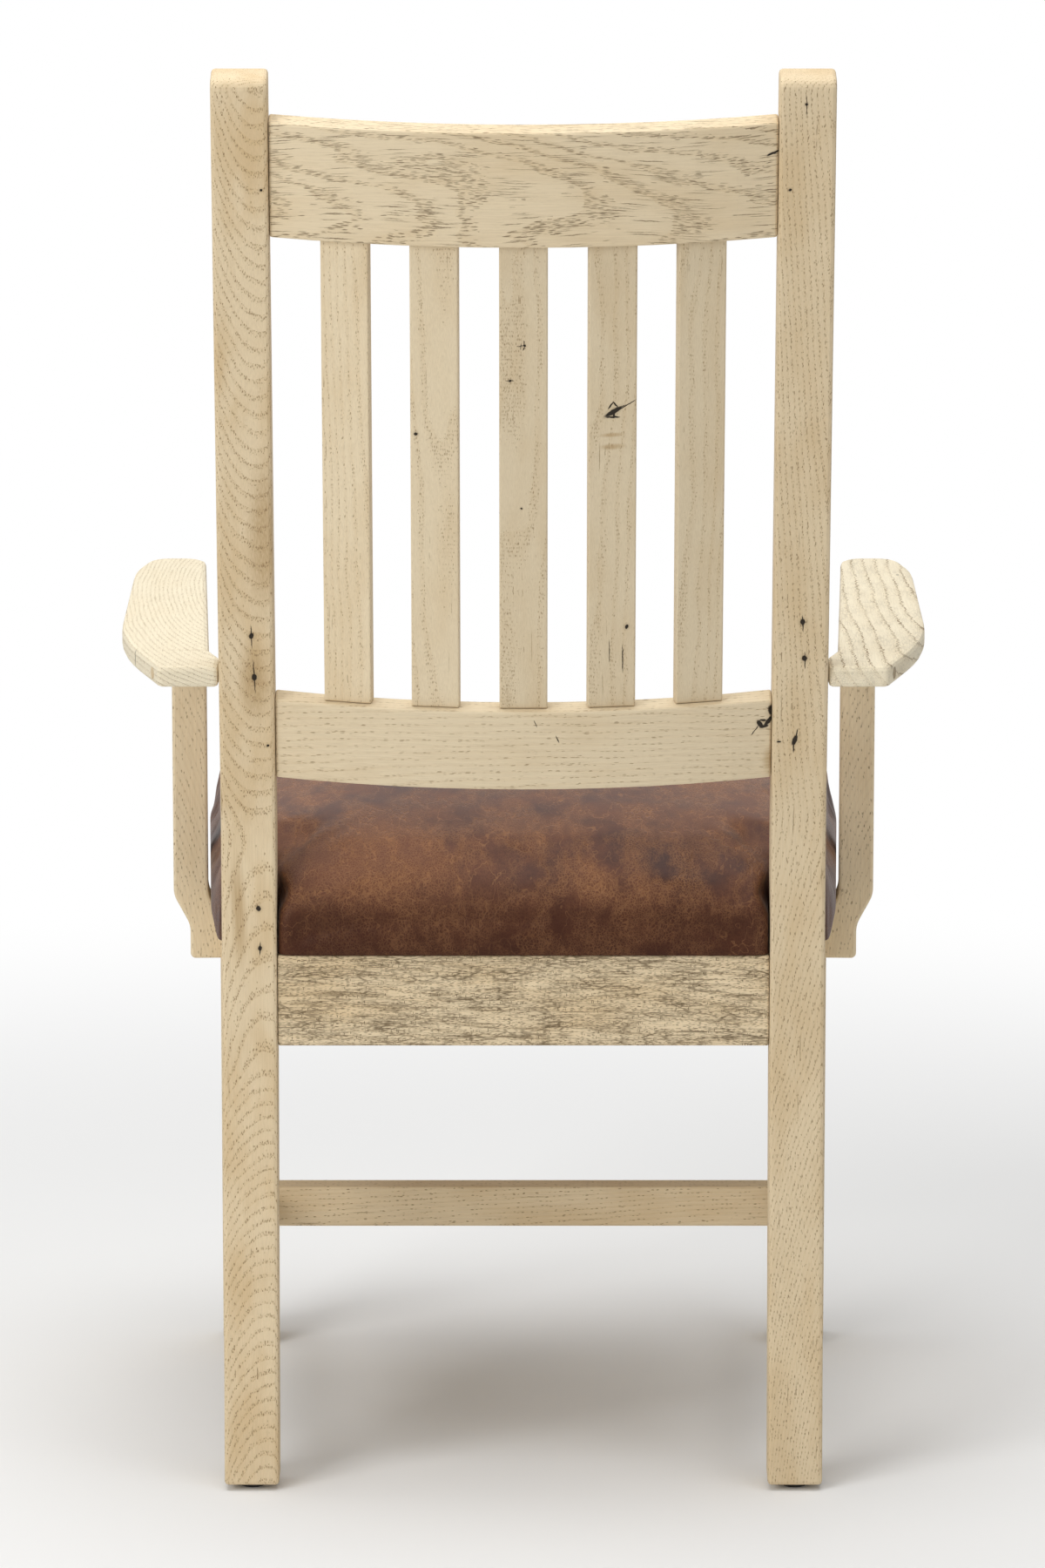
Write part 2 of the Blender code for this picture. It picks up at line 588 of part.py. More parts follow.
# Screws through the rear ends of the arms into the back posts, under wooden plugs
arm_screw_y = (post_rear_at_arm + post_front_at_arm) / 2
arm_edge_slope = (ARM_REACH - FIT - ARM_REAR_WIDTH) / ARM_REAR_TAPER
arm_edge = arm_inner + ARM_REAR_WIDTH + (arm_rear - arm_screw_y) * arm_edge_slope
arm_screw_head = arm_edge - PLUG_LENGTH
arm_screw_length = arm_screw_head - POST_OUTER + ARM_SCREW_BITE
plug_profile = [(0, 2 * PLUG_LENGTH), (PLUG_RADIUS, 2 * PLUG_LENGTH), (PLUG_RADIUS, FIT), (0, FIT)]
bore_profile = [(0, 2 * PLUG_LENGTH), (PLUG_RADIUS + FIT, 2 * PLUG_LENGTH), (PLUG_RADIUS + FIT, 0), (0, 0)]
for hand, side in SIDES:
    head = (side * arm_screw_head, arm_screw_y, ARM_MIDDLE)
    turn = (0, side * math.pi / 2, 0)
    blank_mesh = arms[hand].data.copy()
    blank = hide(place(arms[hand].name + "_blank", blank_mesh, bleached_oak, (0, 0, ARM_MIDDLE)))
    ease(blank, ARM_EDGE_ROUND)
    plug = turned("arm_plug_" + hand, plug_profile, bleached_oak, head, turn)
    cut(plug, blank, "INTERSECT")
    bore = hide(turned("arm_plug_%s_bore" % hand, bore_profile, bleached_oak, head, turn))
    cut(arms[hand], bore)
    drive_screw("arm_screw_" + hand, arm_screw_length, head, turn, [arms[hand], back_posts[hand]])


# Seat board: plan with notches round the back posts
def seat_side(y, inset):
    """How far the edge of the seat stands from the middle of the chair."""
    return rail_face(y) + SEAT_OVERHANG - inset


def seat_rows(inset):
    """Front, notch and rear lines of the seat, and the inner side of its notches."""
    front = -SEAT_DEPTH - SEAT_OVERHANG + inset
    notch = -POST_DEPTH - SEAT_POST_CLEARANCE - inset
    rear = -SEAT_REAR_INSET - inset
    return front, notch, rear, POST_INNER - SEAT_POST_CLEARANCE - inset


seat_front, _, seat_rear, _ = seat_rows(0)
seat_middle = (seat_front + seat_rear) / 2


def drawn_in(x, y, scale):
    """A point of the seat's plan, drawn in towards the middle."""
    return x * scale, seat_middle + (y - seat_middle) * scale


board_inset = LEATHER_THICKNESS + BOARD_CLEARANCE
front, notch, rear, notch_x = seat_rows(board_inset)
board_half = [
    (seat_side(front, board_inset), front, BOARD_CORNER_RADIUS),
    (seat_side(notch, board_inset), notch, BOARD_CORNER_RADIUS),
    (notch_x, notch, 0),
    (notch_x, rear, BOARD_TONGUE_ROUND * (rear - notch)),
]
board_corners = board_half + [(-x, y, radius) for x, y, radius in board_half[::-1]]
board_corners = [(*drawn_in(x, y, CUSHION_DRAW_IN), radius) for x, y, radius in board_corners]
board_mesh = slab_mesh("seat_board", rounded(board_corners), BOARD_THICKNESS)
board_place = (0, 0, BOARD_BOTTOM + BOARD_THICKNESS / 2)
seat_board = place("seat_board", board_mesh, birch_ply, board_place)


# Corner blocks in the four corners of the seat frame, each with a screw up into the board
def rail_inner(y):
    """The inner face of a side rail, with the fit, from the middle of the chair."""
    return rail_face(y) - SEAT_RAIL_THICKNESS - FIT


block_level = SEAT_RAIL_TOP - BLOCK_BELOW_RAIL_TOP - BLOCK_HEIGHT / 2
block_bottom = block_level - BLOCK_HEIGHT / 2
seat_screw_length = BOARD_BOTTOM + SCREW_BITE - block_bottom
corners = (
    ("back", POST_INNER - FIT, side_rear, -SEAT_RAIL_INSET - SEAT_RAIL_THICKNESS - FIT, -1),
    ("front", LEG_INNER - FIT, side_front, -SEAT_DEPTH + SEAT_RAIL_INSET + SEAT_RAIL_THICKNESS + FIT, 1),
)
for end, leg_x, leg_y, rail_y, inward in corners:
    reach_y = leg_y + inward * BLOCK_REACH
    reach_x = leg_x - BLOCK_REACH
    plan = [(leg_x, rail_y), (leg_x, leg_y), (rail_inner(leg_y), leg_y),
            (rail_inner(reach_y), reach_y), (reach_x, rail_y)]
    diagonal = Vector(((rail_inner(reach_y) + reach_x) / 2, (reach_y + rail_y) / 2))
    screw_place = Vector((leg_x, leg_y)).lerp(diagonal, BLOCK_SCREW_PLACE)
    for hand, side in SIDES:
        name = "corner_block_%s_%s" % (end, hand)
        mesh = slab_mesh(name, mirrored(plan, side), BLOCK_HEIGHT)
        block = place(name, mesh, bleached_oak, (0, 0, block_level))
        head = (side * screw_place.x, screw_place.y, block_bottom + FIT)
        screw_name = "seat_screw_%s_%s" % (end, hand)
        drive_screw(screw_name, seat_screw_length, head, (math.pi, 0, 0), [block, seat_board])


# Cushion: the foam and the leather share one cage, a grid that follows the seat's plan
def cushion_grid(bm, inset):
    """A flat grid over the plan of the seat, with the notches left out and their corners marked."""
    front, notch, rear, notch_x = seat_rows(inset)
    front_row = front + CUSHION_EDGE_ROW
    notch_row = notch - CUSHION_EDGE_ROW
    between = CUSHION_ROWS - 3
    rows = [front] + [front_row + (notch_row - front_row) * step / between for step in range(between + 1)]
    rows += [notch, rear]
    bmesh.ops.create_grid(bm, x_segments=CUSHION_COLUMNS, y_segments=CUSHION_ROWS, size=1.0)
    notch_corner = bm.verts.layers.int.new("notch_corner")
    middle_column = CUSHION_COLUMNS // 2
    notch_column = middle_column - 2
    outside = []
    for vertex in bm.verts:
        column = round(vertex.co.x * middle_column)
        row = round((vertex.co.y + 1) / 2 * CUSHION_ROWS)
        y = rows[row]
        x = notch_x * column / notch_column
        if abs(column) > notch_column:
            edge_row = CUSHION_EDGE_ROW * (middle_column - abs(column))
            x = math.copysign(seat_side(y, inset) - edge_row, column)
            if row == CUSHION_ROWS:
                outside.append(vertex)
        vertex[notch_corner] = int(abs(column) == notch_column and row == CUSHION_ROWS - 1)
        vertex.co = (x, y, 0)
    bmesh.ops.delete(bm, geom=outside, context="VERTS")


def draw_in(verts, scale):
    """Draw verts in towards the middle of the seat."""
    for vertex in verts:
        vertex.co.x, vertex.co.y = drawn_in(vertex.co.x, vertex.co.y, scale)


def raise_cushion(bm, inset, levels):
    """Raise the grid through levels of (height, draw-in) and return its bottom faces.

    The top is crowned, and its rear edge rolls down.
    """
    bottom = list(bm.faces)
    top = bottom
    bottom_height, last_scale = levels[0]
    draw_in(bm.verts, last_scale)
    bmesh.ops.translate(bm, vec=(0, 0, bottom_height), verts=bm.verts)
    for height, scale in levels[1:]:
        made = bmesh.ops.extrude_face_region(bm, geom=top)
        if top is not bottom:
            bmesh.ops.delete(bm, geom=top, context="FACES")
        top = [item for item in made["geom"] if isinstance(item, bmesh.types.BMFace)]
        top_verts = {vertex for face in top for vertex in face.verts}
        draw_in(top_verts, scale / last_scale)
        last_scale = scale
        for vertex in top_verts:
            vertex.co.z = height
    rear = seat_rows(inset)[2]
    for vertex in top_verts:
        across = vertex.co.x / seat_side(vertex.co.y, inset)
        along = (vertex.co.y - seat_middle) / (rear - seat_middle)
        vertex.co.z += CUSHION_CROWN * max(0, 1 - across ** 2) * max(0, 1 - along ** 2)
        vertex.co.z -= CUSHION_REAR_ROLL * max(0, along) ** CUSHION_ROLL_POWER
    bmesh.ops.recalc_face_normals(bm, faces=bm.faces)
    return bottom


def crease(bm, underside):
    """Keep the notch corners and the fold round the underside sharp."""
    notch_corner = bm.verts.layers.int["notch_corner"]
    layer = bm.edges.layers.float.new("crease_edge")
    for edge in bm.edges:
        at_notch = all(vertex[notch_corner] for vertex in edge.verts)
        at_fold = len({face in underside for face in edge.link_faces}) == 2
        if at_notch or at_fold:
            edge[layer] = 1.0


def cushion_piece(name, bm, material):
    """The cushion piece from its cage, smoothed once."""
    mesh = bpy.data.meshes.new(name)
    bm.to_mesh(mesh)
    bm.free()
    mesh.shade_smooth()
    piece = place(name, mesh, material)
    smooth = piece.modifiers.new("soft", "SUBSURF")
    smooth.levels = 1
    smooth.render_levels = 1
    return piece


foam_inset = LEATHER_THICKNESS + PADDING_CLEARANCE
foam_bottom = BOARD_BOTTOM + BOARD_THICKNESS + FIT
belly_height = CUSHION_BOTTOM + CUSHION_EDGE_HEIGHT * CUSHION_BELLY
edge_top = CUSHION_BOTTOM + CUSHION_EDGE_HEIGHT
foam_top = edge_top - foam_inset
foam_levels = [(foam_bottom, CUSHION_DRAW_IN), (belly_height, 1.0), (foam_top, CUSHION_SHOULDER)]
cage = bmesh.new()
cushion_grid(cage, foam_inset)
foam_underside = raise_cushion(cage, foam_inset, foam_levels)
crease(cage, foam_underside)
cushion_piece("seat_foam", cage, seat_padding)

cover_levels = [(CUSHION_BOTTOM, CUSHION_DRAW_IN), (belly_height, 1.0), (edge_top, CUSHION_SHOULDER)]
cage = bmesh.new()
cushion_grid(cage, 0)
cover_underside = raise_cushion(cage, 0, cover_levels)
bmesh.ops.delete(cage, geom=cover_underside, context="FACES")
hem = [edge for edge in cage.edges if edge.is_boundary]
turned_under = bmesh.ops.extrude_edge_only(cage, edges=hem)["geom"]
draw_in([item for item in turned_under if isinstance(item, bmesh.types.BMVert)], CUSHION_TURN_UNDER)
bmesh.ops.recalc_face_normals(cage, faces=cage.faces)
crease(cage, [item for item in turned_under if isinstance(item, bmesh.types.BMFace)])
seat_cover = cushion_piece("seat_cover", cage, chestnut_leather)
shell = seat_cover.modifiers.new("leather", "SOLIDIFY")
shell.thickness = LEATHER_THICKNESS
shell.offset = -1.0


# Glides under the four feet, each with a pin up into the leg
glide_profile = [(0, GLIDE_PIN_LENGTH), (GLIDE_PIN_RADIUS, GLIDE_PIN_LENGTH), (GLIDE_PIN_RADIUS, 0),
                 (GLIDE_RADIUS, 0), (GLIDE_RADIUS, -GLIDE_HEIGHT / 2),
                 (GLIDE_RADIUS - GLIDE_HEIGHT / 2, -GLIDE_HEIGHT), (0, -GLIDE_HEIGHT)]
pin_radius = GLIDE_PIN_RADIUS + FIT
pin_top = GLIDE_PIN_LENGTH + FIT
pin_profile = [(0, pin_top), (pin_radius, pin_top), (pin_radius, -FIT), (0, -FIT)]
post_foot_y = (KNEE_LEVEL - LEG_FOOT) * math.tan(FOOT_SPLAY) / 2 + post_front(LEG_FOOT) / 2
for end, legs, x, y in (("back", back_posts, POST_X, post_foot_y), ("front", front_legs, LEG_X, LEG_Y)):
    for hand, side in SIDES:
        name = "glide_%s_%s" % (end, hand)
        spot = (side * x, y, GLIDE_HEIGHT)
        turned(name, glide_profile, dark_nylon, spot)
        cut(legs[hand], hide(turned(name + "_hole", pin_profile, dark_nylon, spot)))


# Centre the finished chair on the origin, front to back
bpy.context.view_layer.update()
depsgraph = bpy.context.evaluated_depsgraph_get()
span = []
for piece in parts.objects:
    if piece.type == "MESH":
        evaluated = piece.evaluated_get(depsgraph)
        span += [(evaluated.matrix_world @ Vector(corner)).y for corner in evaluated.bound_box]
chair.location.y = -(min(span) + max(span)) / 2
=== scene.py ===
# Farmhouse armchair: the looks of its bleached oak frame and its leather seat.
# Metres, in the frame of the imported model: the chair faces -Y and +X is the sitter's left.

import math

import bmesh
import bpy
from mathutils import Matrix, Vector


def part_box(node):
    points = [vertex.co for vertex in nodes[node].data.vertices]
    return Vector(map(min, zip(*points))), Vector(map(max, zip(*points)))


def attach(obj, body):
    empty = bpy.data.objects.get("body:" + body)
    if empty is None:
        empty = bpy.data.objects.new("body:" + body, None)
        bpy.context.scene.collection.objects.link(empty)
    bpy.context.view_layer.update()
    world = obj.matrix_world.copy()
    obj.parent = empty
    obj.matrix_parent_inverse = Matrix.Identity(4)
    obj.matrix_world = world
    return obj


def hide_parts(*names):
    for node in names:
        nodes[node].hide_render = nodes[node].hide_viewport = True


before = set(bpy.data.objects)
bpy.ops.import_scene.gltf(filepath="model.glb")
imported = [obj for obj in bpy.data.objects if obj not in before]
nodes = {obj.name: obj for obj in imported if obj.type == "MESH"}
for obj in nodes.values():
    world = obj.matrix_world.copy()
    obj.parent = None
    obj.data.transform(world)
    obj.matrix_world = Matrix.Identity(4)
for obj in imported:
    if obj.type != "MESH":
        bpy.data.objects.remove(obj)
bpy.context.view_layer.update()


# Back posts: each is a rear leg and an upright sawn from one thick plank of reclaimed oak, bleached
# and left matt. The grain runs straight up the plank, so the raked part cuts across the growth rings
# and shows arches. Old nail holes, black from iron, have short drying cracks above and below them.
class Shade:
    """A socket of a material's nodes; arithmetic on it adds Math nodes."""

    def __init__(self, tree, made=None, output=0):
        self.tree = tree
        self.made = made
        self.output = output

    def node(self, kind, settings, sockets, output=0):
        """Add a node: first its settings, then the values or links of its sockets."""
        made = self.tree.nodes.new("ShaderNode" + kind)
        for name, value in settings.items():
            setattr(made, name, value)
        for name, value in sockets.items():
            if isinstance(value, Shade):
                self.tree.links.new(value.made.outputs[value.output], made.inputs[name])
            else:
                made.inputs[name].default_value = value
        return Shade(self.tree, made, output)

    def out(self, output):
        """Another output of the same node."""
        return Shade(self.tree, self.made, output)

    def math(self, operation, *values):
        return self.node("Math", {"operation": operation}, dict(enumerate(values)))

    def vector(self, operation, *values):
        output = "Value" if operation in ("LENGTH", "DOT_PRODUCT") else "Vector"
        return self.node("VectorMath", {"operation": operation}, dict(enumerate(values)), output)

    def fade(self, low, high):
        """Rise smoothly from 0 at low to 1 at high, or fall if low is the greater."""
        sockets = {"Value": self, "From Min": low, "From Max": high}
        return self.node("MapRange", {"interpolation_type": "SMOOTHSTEP"}, sockets)

    def mix(self, factor, first, second):
        """Mix two colours."""
        return self.node("Mix", {"data_type": "RGBA"}, {0: factor, 6: first, 7: second}, 2)

    def __add__(self, other):
        return self.math("ADD", self, other)

    __radd__ = __add__

    def __sub__(self, other):
        return self.math("SUBTRACT", self, other)

    def __rsub__(self, other):
        return self.math("SUBTRACT", other, self)

    def __mul__(self, other):
        return self.math("MULTIPLY", self, other)

    __rmul__ = __mul__

    def __truediv__(self, other):
        return self.math("DIVIDE", self, other)

    def __pow__(self, other):
        return self.math("POWER", self, other)


def start_material(name):
    """An empty material and a Shade to build its nodes with."""
    material = bpy.data.materials.new(name)
    material.use_nodes = True
    material.node_tree.nodes.clear()
    return material, Shade(material.node_tree)


def scar(place, start, stop, half_width, inward, softness):
    """Where a point lies in a nail hole, crack or stain from start to stop: 1 inside, 0 outside."""
    start = Vector(start)
    stop = Vector(stop)
    half_depth = 0.005
    run = (stop - start).normalized() if (stop - start).length > 0 else Vector((1, 0, 0))
    deep = Vector(inward)
    deep = (deep - run * deep.dot(run)).normalized()
    turn = Matrix((run, deep, run.cross(deep))).transposed().to_euler()
    half_sizes = ((stop - start).length / 2 + half_width, half_depth, half_width)
    sockets = {"Vector": place, "Location": (start + stop) / 2, "Rotation": turn, "Scale": half_sizes}
    inside = place.node("Mapping", {"vector_type": "TEXTURE"}, sockets)
    return inside.vector("LENGTH", inside).fade(1.1, softness)


PALE_OAK = Vector((0.74, 0.605, 0.405))
WARM_OAK = Vector((0.61, 0.445, 0.245))
# The bleached tones also whiten the arms as painted highlight.
BLEACHED_AND_HIGHLIT_PALE_OAK = Vector((0.80, 0.74, 0.58))
BLEACHED_AND_HIGHLIT_WARM_OAK = Vector((0.70, 0.57, 0.37))
FIBRE_BROWN = (0.42, 0.32, 0.2, 1)
FLECK_BROWN = (0.42, 0.31, 0.185, 1)
STAIN_BROWN = (0.40, 0.26, 0.115, 1)
GRIME_BROWN = (0.36, 0.265, 0.15, 1)
TORN_BROWN = (0.12, 0.08, 0.038, 1)
HALO_BROWN = (0.2, 0.13, 0.07, 1)
IRON_BLACK = (0.012, 0.009, 0.007, 1)


def oak(name, axes, pith, lean=0.0, bend=0.0, rake=0.0, ring=0.0022, warp=2.0, pore=(0.0036, 0.0011),
        pores=0.9, lines=0.03, sway=0.004, seam=0.0, end_seam=0.0, light=1.0, bleach_and_highlight=0.0, tan=0.5,
        ink=(0.26, 0.18, 0.095, 1), sawn=0.0, seed=0.0, scars=(), stains=(), inward=(0, 1, 0)):
    """Bleached oak. axes name the directions along the grain, across the face and through the board.

    pith is a point on the heart of the tree in those directions, and lean is how far the heart moves
    through the board along the grain. bend and rake follow a bowed or raked board. ring is the width of
    a year's growth, and the rings wander by warp times that. pore is the pitch of the dark pores, along
    and across, and pores says how many of them show; they lie in the spring wood of each ring. lines is
    the share of long open vessels, and sway is how far they wander. seam and end_seam darken each ring's
    start, on the sides and on end grain. light and bleach give the paleness, which on the slats and arm
    posts is partly painted light and shade, and on the arms partly painted highlight. tan gives the warm
    patches and ink the colour of the pores. sawn is how far a saw has torn the fibres. scars are black
    and stains brown, each from a start to a stop with a half-width, on a face that looks along inward.
    """
    material, wood = start_material(name)
    place = wood.node("TexCoord", {}, {}, "Object")
    split = wood.node("SeparateXYZ", {}, {"Vector": place})
    along, across, depth = (split.out(axis) for axis in axes)
    through = depth - across * rake + along * along * bend
    along_pith, across_pith, through_pith = pith
    facing = wood.node("SeparateXYZ", {}, {"Vector": wood.vector("ABSOLUTE", place.out("Normal"))})
    to_end, to_side, to_face = (facing.out(axis) for axis in axes)
    end = wood.math("GREATER_THAN", to_end, 0.75)
    edge = wood.math("GREATER_THAN", to_side, to_face) * (1 - end)

    def stretched(length, width, shift=0.0):
        """Coordinates in which a fibre of that length and width is one unit each way."""
        sockets = {0: along / length + (seed + shift), 1: across / width + seed, 2: through / width - seed}
        return wood.node("CombineXYZ", {}, sockets)

    def noise(length, width, shift=0.0, detail=2.0):
        sockets = {"Vector": stretched(length, width, shift), "Scale": 1.0, "Detail": detail}
        return wood.node("TexNoise", {}, sockets, "Fac")

    def ring_phase(u, a, b):
        """How far a point is through the year's growth: 0 where the spring wood starts, 1 at its end."""
        drift_length = 0.13
        drift_width = 0.040
        sockets = {0: u / drift_length + seed, 1: a / drift_width + seed, 2: b / drift_width - seed}
        drawn_out = wood.node("CombineXYZ", {}, sockets)
        sockets = {"Vector": drawn_out, "Scale": 1.0, "Detail": 2.0, "Roughness": 0.4}
        drift = wood.node("TexNoise", {}, sockets, "Fac")
        side = a - across_pith
        deep = b - through_pith - (u - along_pith) * lean
        return wood.math("FRACT", (side * side + deep * deep) ** 0.5 / ring + (drift - 0.5) * warp)

    def dashes(length, width, shift):
        """Cells that lie on a face, longer along the grain.

        They give how far out in its cell a point is, three chances, and the ring phase at its middle.
        """
        run = along + end * (across * (length / width) - along)
        breadth = across + (edge + end) * (through - across) + (ripple - 0.5) * (0.9 * width) + wander
        laid = wood.node("CombineXYZ", {}, {0: run / length + (seed + shift), 1: breadth / width + seed})
        sockets = {"Vector": laid, "Scale": 1.0}
        cells = wood.node("TexVoronoi", {"voronoi_dimensions": "2D"}, sockets, "Distance")
        chance = wood.node("SeparateXYZ", {}, {"Vector": cells.out("Color")})
        centre = wood.node("SeparateXYZ", {}, {"Vector": cells.out("Position")})
        middle_run = (centre.out("X") - (seed + shift)) * length
        middle_breadth = (centre.out("Y") - seed) * width - wander
        phase = ring_phase(along + (1 - end) * (middle_run - along),
                           across + (1 - end) * (1 - edge) * (middle_breadth - across),
                           through + edge * (middle_breadth - through))
        return cells, chance, phase

    ripple = noise(0.004, 0.0011, 3.0)
    wander = (noise(0.16, 0.08, 19.0, 0.0) - 0.5) * (1 - end) * sway
    worn = noise(0.06, 0.02, 7.0).fade(0.25, 0.7) * 0.5 + 0.5
    spot, chance, phase = dashes(pore[0], pore[1], 0.0)
    kept = (phase.fade(0.46, 0.14) * worn * pores + 0.02 * pores - chance.out("X")).fade(0.0, 0.02)
    stipple = (spot / (chance.out("Y") * 0.24 + 0.26)).fade(1.0, 0.4) * kept * (chance.out("Z") * 0.6 + 0.4)
    spot, chance, phase = dashes(0.044, 0.0013, 41.0)
    kept = (lines * (phase.fade(0.7, 0.1) + 0.5) - chance.out("X")).fade(0.0, 0.01)
    vessel = (spot / (chance.out("Y") * 0.18 + 0.2)).fade(1.0, 0.3) * kept * (chance.out("Z") * 0.6 + 0.4)
    open_grain = wood.math("MAXIMUM", stipple, vessel)
    if seam:
        zigzag = (noise(0.005, 0.012, 47.0) - 0.5) * (seam * 0.007) + (ripple - 0.5) * 0.003
        torn_edge = ring_phase(along, across + zigzag * (1 - end), through)
        line = torn_edge.fade(0.14, 0.03) * torn_edge.fade(0.0, 0.02) * (worn * 1.4 - 0.4)
        open_grain = wood.math("MAXIMUM", open_grain, line * (end * (end_seam - seam) + seam))

    spring_wood = ring_phase(along, across, through).fade(0.55, 0.05)
    fibre = noise(0.03, 0.0007, 11.0, 3.0)
    fleck = noise(0.006, 0.0008, 13.0).fade(0.55, 0.72) * (spring_wood * 0.6 + 0.25)
    patch = noise(0.09, 0.03, 17.0, 3.0)
    pale = PALE_OAK.lerp(BLEACHED_AND_HIGHLIT_PALE_OAK, bleach_and_highlight) * light
    warm = WARM_OAK.lerp(BLEACHED_AND_HIGHLIT_WARM_OAK, bleach_and_highlight) * light
    colour = wood.mix(patch.fade(0.38, 0.75) * tan + spring_wood * 0.16, (*pale, 1), (*warm, 1))
    colour = wood.mix((fibre - 0.38) * 0.6, colour, FIBRE_BROWN)
    colour = wood.mix(fleck * 0.5, colour, FLECK_BROWN)
    for start, stop, half_width in stains:
        tint = scar(place, start, stop, half_width, inward, 0.2) * (fibre * 0.8 + 0.2)
        colour = wood.mix(tint, colour, STAIN_BROWN)
    colour = wood.mix(open_grain * 0.85, colour, ink)
    height = (fibre - 0.5) * 0.25 - open_grain

    if sawn:
        grime = noise(0.035, 0.010, 29.0, 3.0).fade(0.3, 0.7)
        sidestep = wood.node("CombineXYZ", {}, {1: ripple * 0.9})
        flakes = wood.vector("ADD", stretched(0.015, 0.0022, 23.0), sidestep)
        tears = wood.node("TexVoronoi", {"feature": "DISTANCE_TO_EDGE"}, {"Vector": flakes, "Scale": 1.0})
        upright = stretched(0.0011, 0.0055, 37.0)
        jags = wood.node("TexVoronoi", {}, {"Vector": upright, "Scale": 1.0}, "Distance")
        chance = wood.node("SeparateXYZ", {}, {"Vector": jags.out("Color")})
        kept = (grime * 0.90 + 0.14 - chance.out("X")).fade(0.0, 0.02)
        torn = (jags / (chance.out("Y") * 0.16 + 0.2)).fade(1.0, 0.3) * kept
        torn = wood.math("MAXIMUM", torn, tears.fade(0.14, 0.02) * grime * 0.9) * sawn
        colour = wood.mix(grime * 0.2 * sawn, colour, GRIME_BROWN)
        colour = wood.mix(torn * 0.85, colour, TORN_BROWN)
        height = height - torn * 1.5 + noise(0.0016, 0.02, 31.0) * 0.8 * sawn

    if scars:
        wobble = wood.node("TexNoise", {}, {"Vector": place, "Scale": 420.0, "Detail": 2.0}, "Color")
        ragged = 0.0013
        nudge = wood.vector("SUBTRACT", wobble, (0.5, 0.5, 0.5))
        nudge = wood.vector("MULTIPLY", nudge, (ragged, ragged, ragged))
        shaken = wood.vector("ADD", place, nudge)
        hurt = None
        stain = None
        for start, stop, half_width in scars:
            hole = scar(shaken, start, stop, half_width, inward, 0.75)
            halo = scar(shaken, start, stop, half_width * 2.2, inward, 0.6)
            hurt = hole if hurt is None else wood.math("MAXIMUM", hurt, hole)
            stain = halo if stain is None else wood.math("MAXIMUM", stain, halo)
        colour = wood.mix(stain * 0.16, colour, HALO_BROWN)
        colour = wood.mix(hurt * 0.97, colour, IRON_BLACK)
        height = height - hurt * 5.0

    bump = wood.node("Bump", {}, {"Height": height, "Strength": 0.6, "Distance": 0.0005})
    shader = wood.node("BsdfPrincipled", {}, {
        "Base Color": colour, "Roughness": open_grain * 0.2 + 0.58, "Normal": bump,
        "Specular IOR Level": 0.15})
    wood.node("OutputMaterial", {}, {"Surface": shader})
    return material


def finish(material, *names):
    """Give CAD nodes a material."""
    for name in names:
        nodes[name].material_slots[0].material = material


left_post_scars = [
    ((0.1903, 0.2398, 1.0020), (0.1903, 0.2398, 1.0020), 0.0011),
    ((0.2016, 0.1797, 0.6612), (0.2016, 0.1795, 0.6600), 0.0018),
    ((0.1999, 0.1740, 0.6290), (0.1998, 0.1738, 0.6272), 0.0021),
    ((0.2020, 0.1810, 0.6690), (0.2012, 0.1780, 0.6510), 0.0004),
    ((0.2006, 0.1760, 0.6420), (0.1992, 0.1715, 0.6160), 0.0004),
    ((0.1905, 0.1644, 0.5743), (0.1905, 0.1644, 0.5743), 0.0011),
    ((0.1988, 0.1528, 0.4476), (0.1985, 0.1528, 0.4466), 0.0018),
    ((0.1976, 0.1528, 0.4167), (0.1976, 0.1528, 0.4160), 0.0016),
    ((0.1974, 0.1528, 0.4210), (0.1978, 0.1528, 0.4110), 0.0004),
]
left_post_stains = [
    ((0.1900, 0.2040, 0.8000), (0.1930, 0.1830, 0.6800), 0.0150),
    ((0.2010, 0.1780, 0.6500), (0.1990, 0.1690, 0.6000), 0.0140),
    ((0.2150, 0.1528, 0.4900), (0.2120, 0.1528, 0.4000), 0.0070),
]
right_post_scars = [
    ((-0.2045, 0.2512, 1.0660), (-0.2045, 0.2512, 1.0660), 0.0012),
    ((-0.2043, 0.2515, 1.0740), (-0.2050, 0.2495, 1.0570), 0.0003),
    ((-0.1937, 0.2399, 1.0023), (-0.1935, 0.2399, 1.0023), 0.0011),
    ((-0.2068, 0.1817, 0.6722), (-0.2069, 0.1815, 0.6710), 0.0020),
    ((-0.2066, 0.1820, 0.6765), (-0.2073, 0.1802, 0.6640), 0.0005),
    ((-0.2086, 0.1767, 0.6436), (-0.2086, 0.1765, 0.6428), 0.0021),
    ((-0.2088, 0.1775, 0.6480), (-0.2090, 0.1755, 0.6350), 0.0005),
    ((-0.2031, 0.1655, 0.5812), (-0.2012, 0.1648, 0.5760), 0.0018),
    ((-0.2040, 0.1667, 0.5872), (-0.2028, 0.1655, 0.5795), 0.0005),
    ((-0.2012, 0.1648, 0.5770), (-0.2015, 0.1640, 0.5690), 0.0005),
    ((-0.1912, 0.1649, 0.5772), (-0.1894, 0.1649, 0.5772), 0.0008),
]
left_post_oak = oak("left_post_oak", "ZXY", (0.75, 0.193, 0.295), 0.06, ring=0.0015, pore=(0.0030, 0.0011),
                    pores=1.5, tan=0.8, ink=(0.25, 0.158, 0.072, 1), scars=left_post_scars,
                    stains=left_post_stains)
finish(left_post_oak, "back_post_left")
right_post_oak = oak("right_post_oak", "ZXY", (0.75, -0.275, 0.330), 0.14, ring=0.0020,
                     pore=(0.0034, 0.0010), pores=1.3, light=0.95, tan=0.55, seed=5.3,
                     scars=right_post_scars)
finish(right_post_oak, "back_post_right")


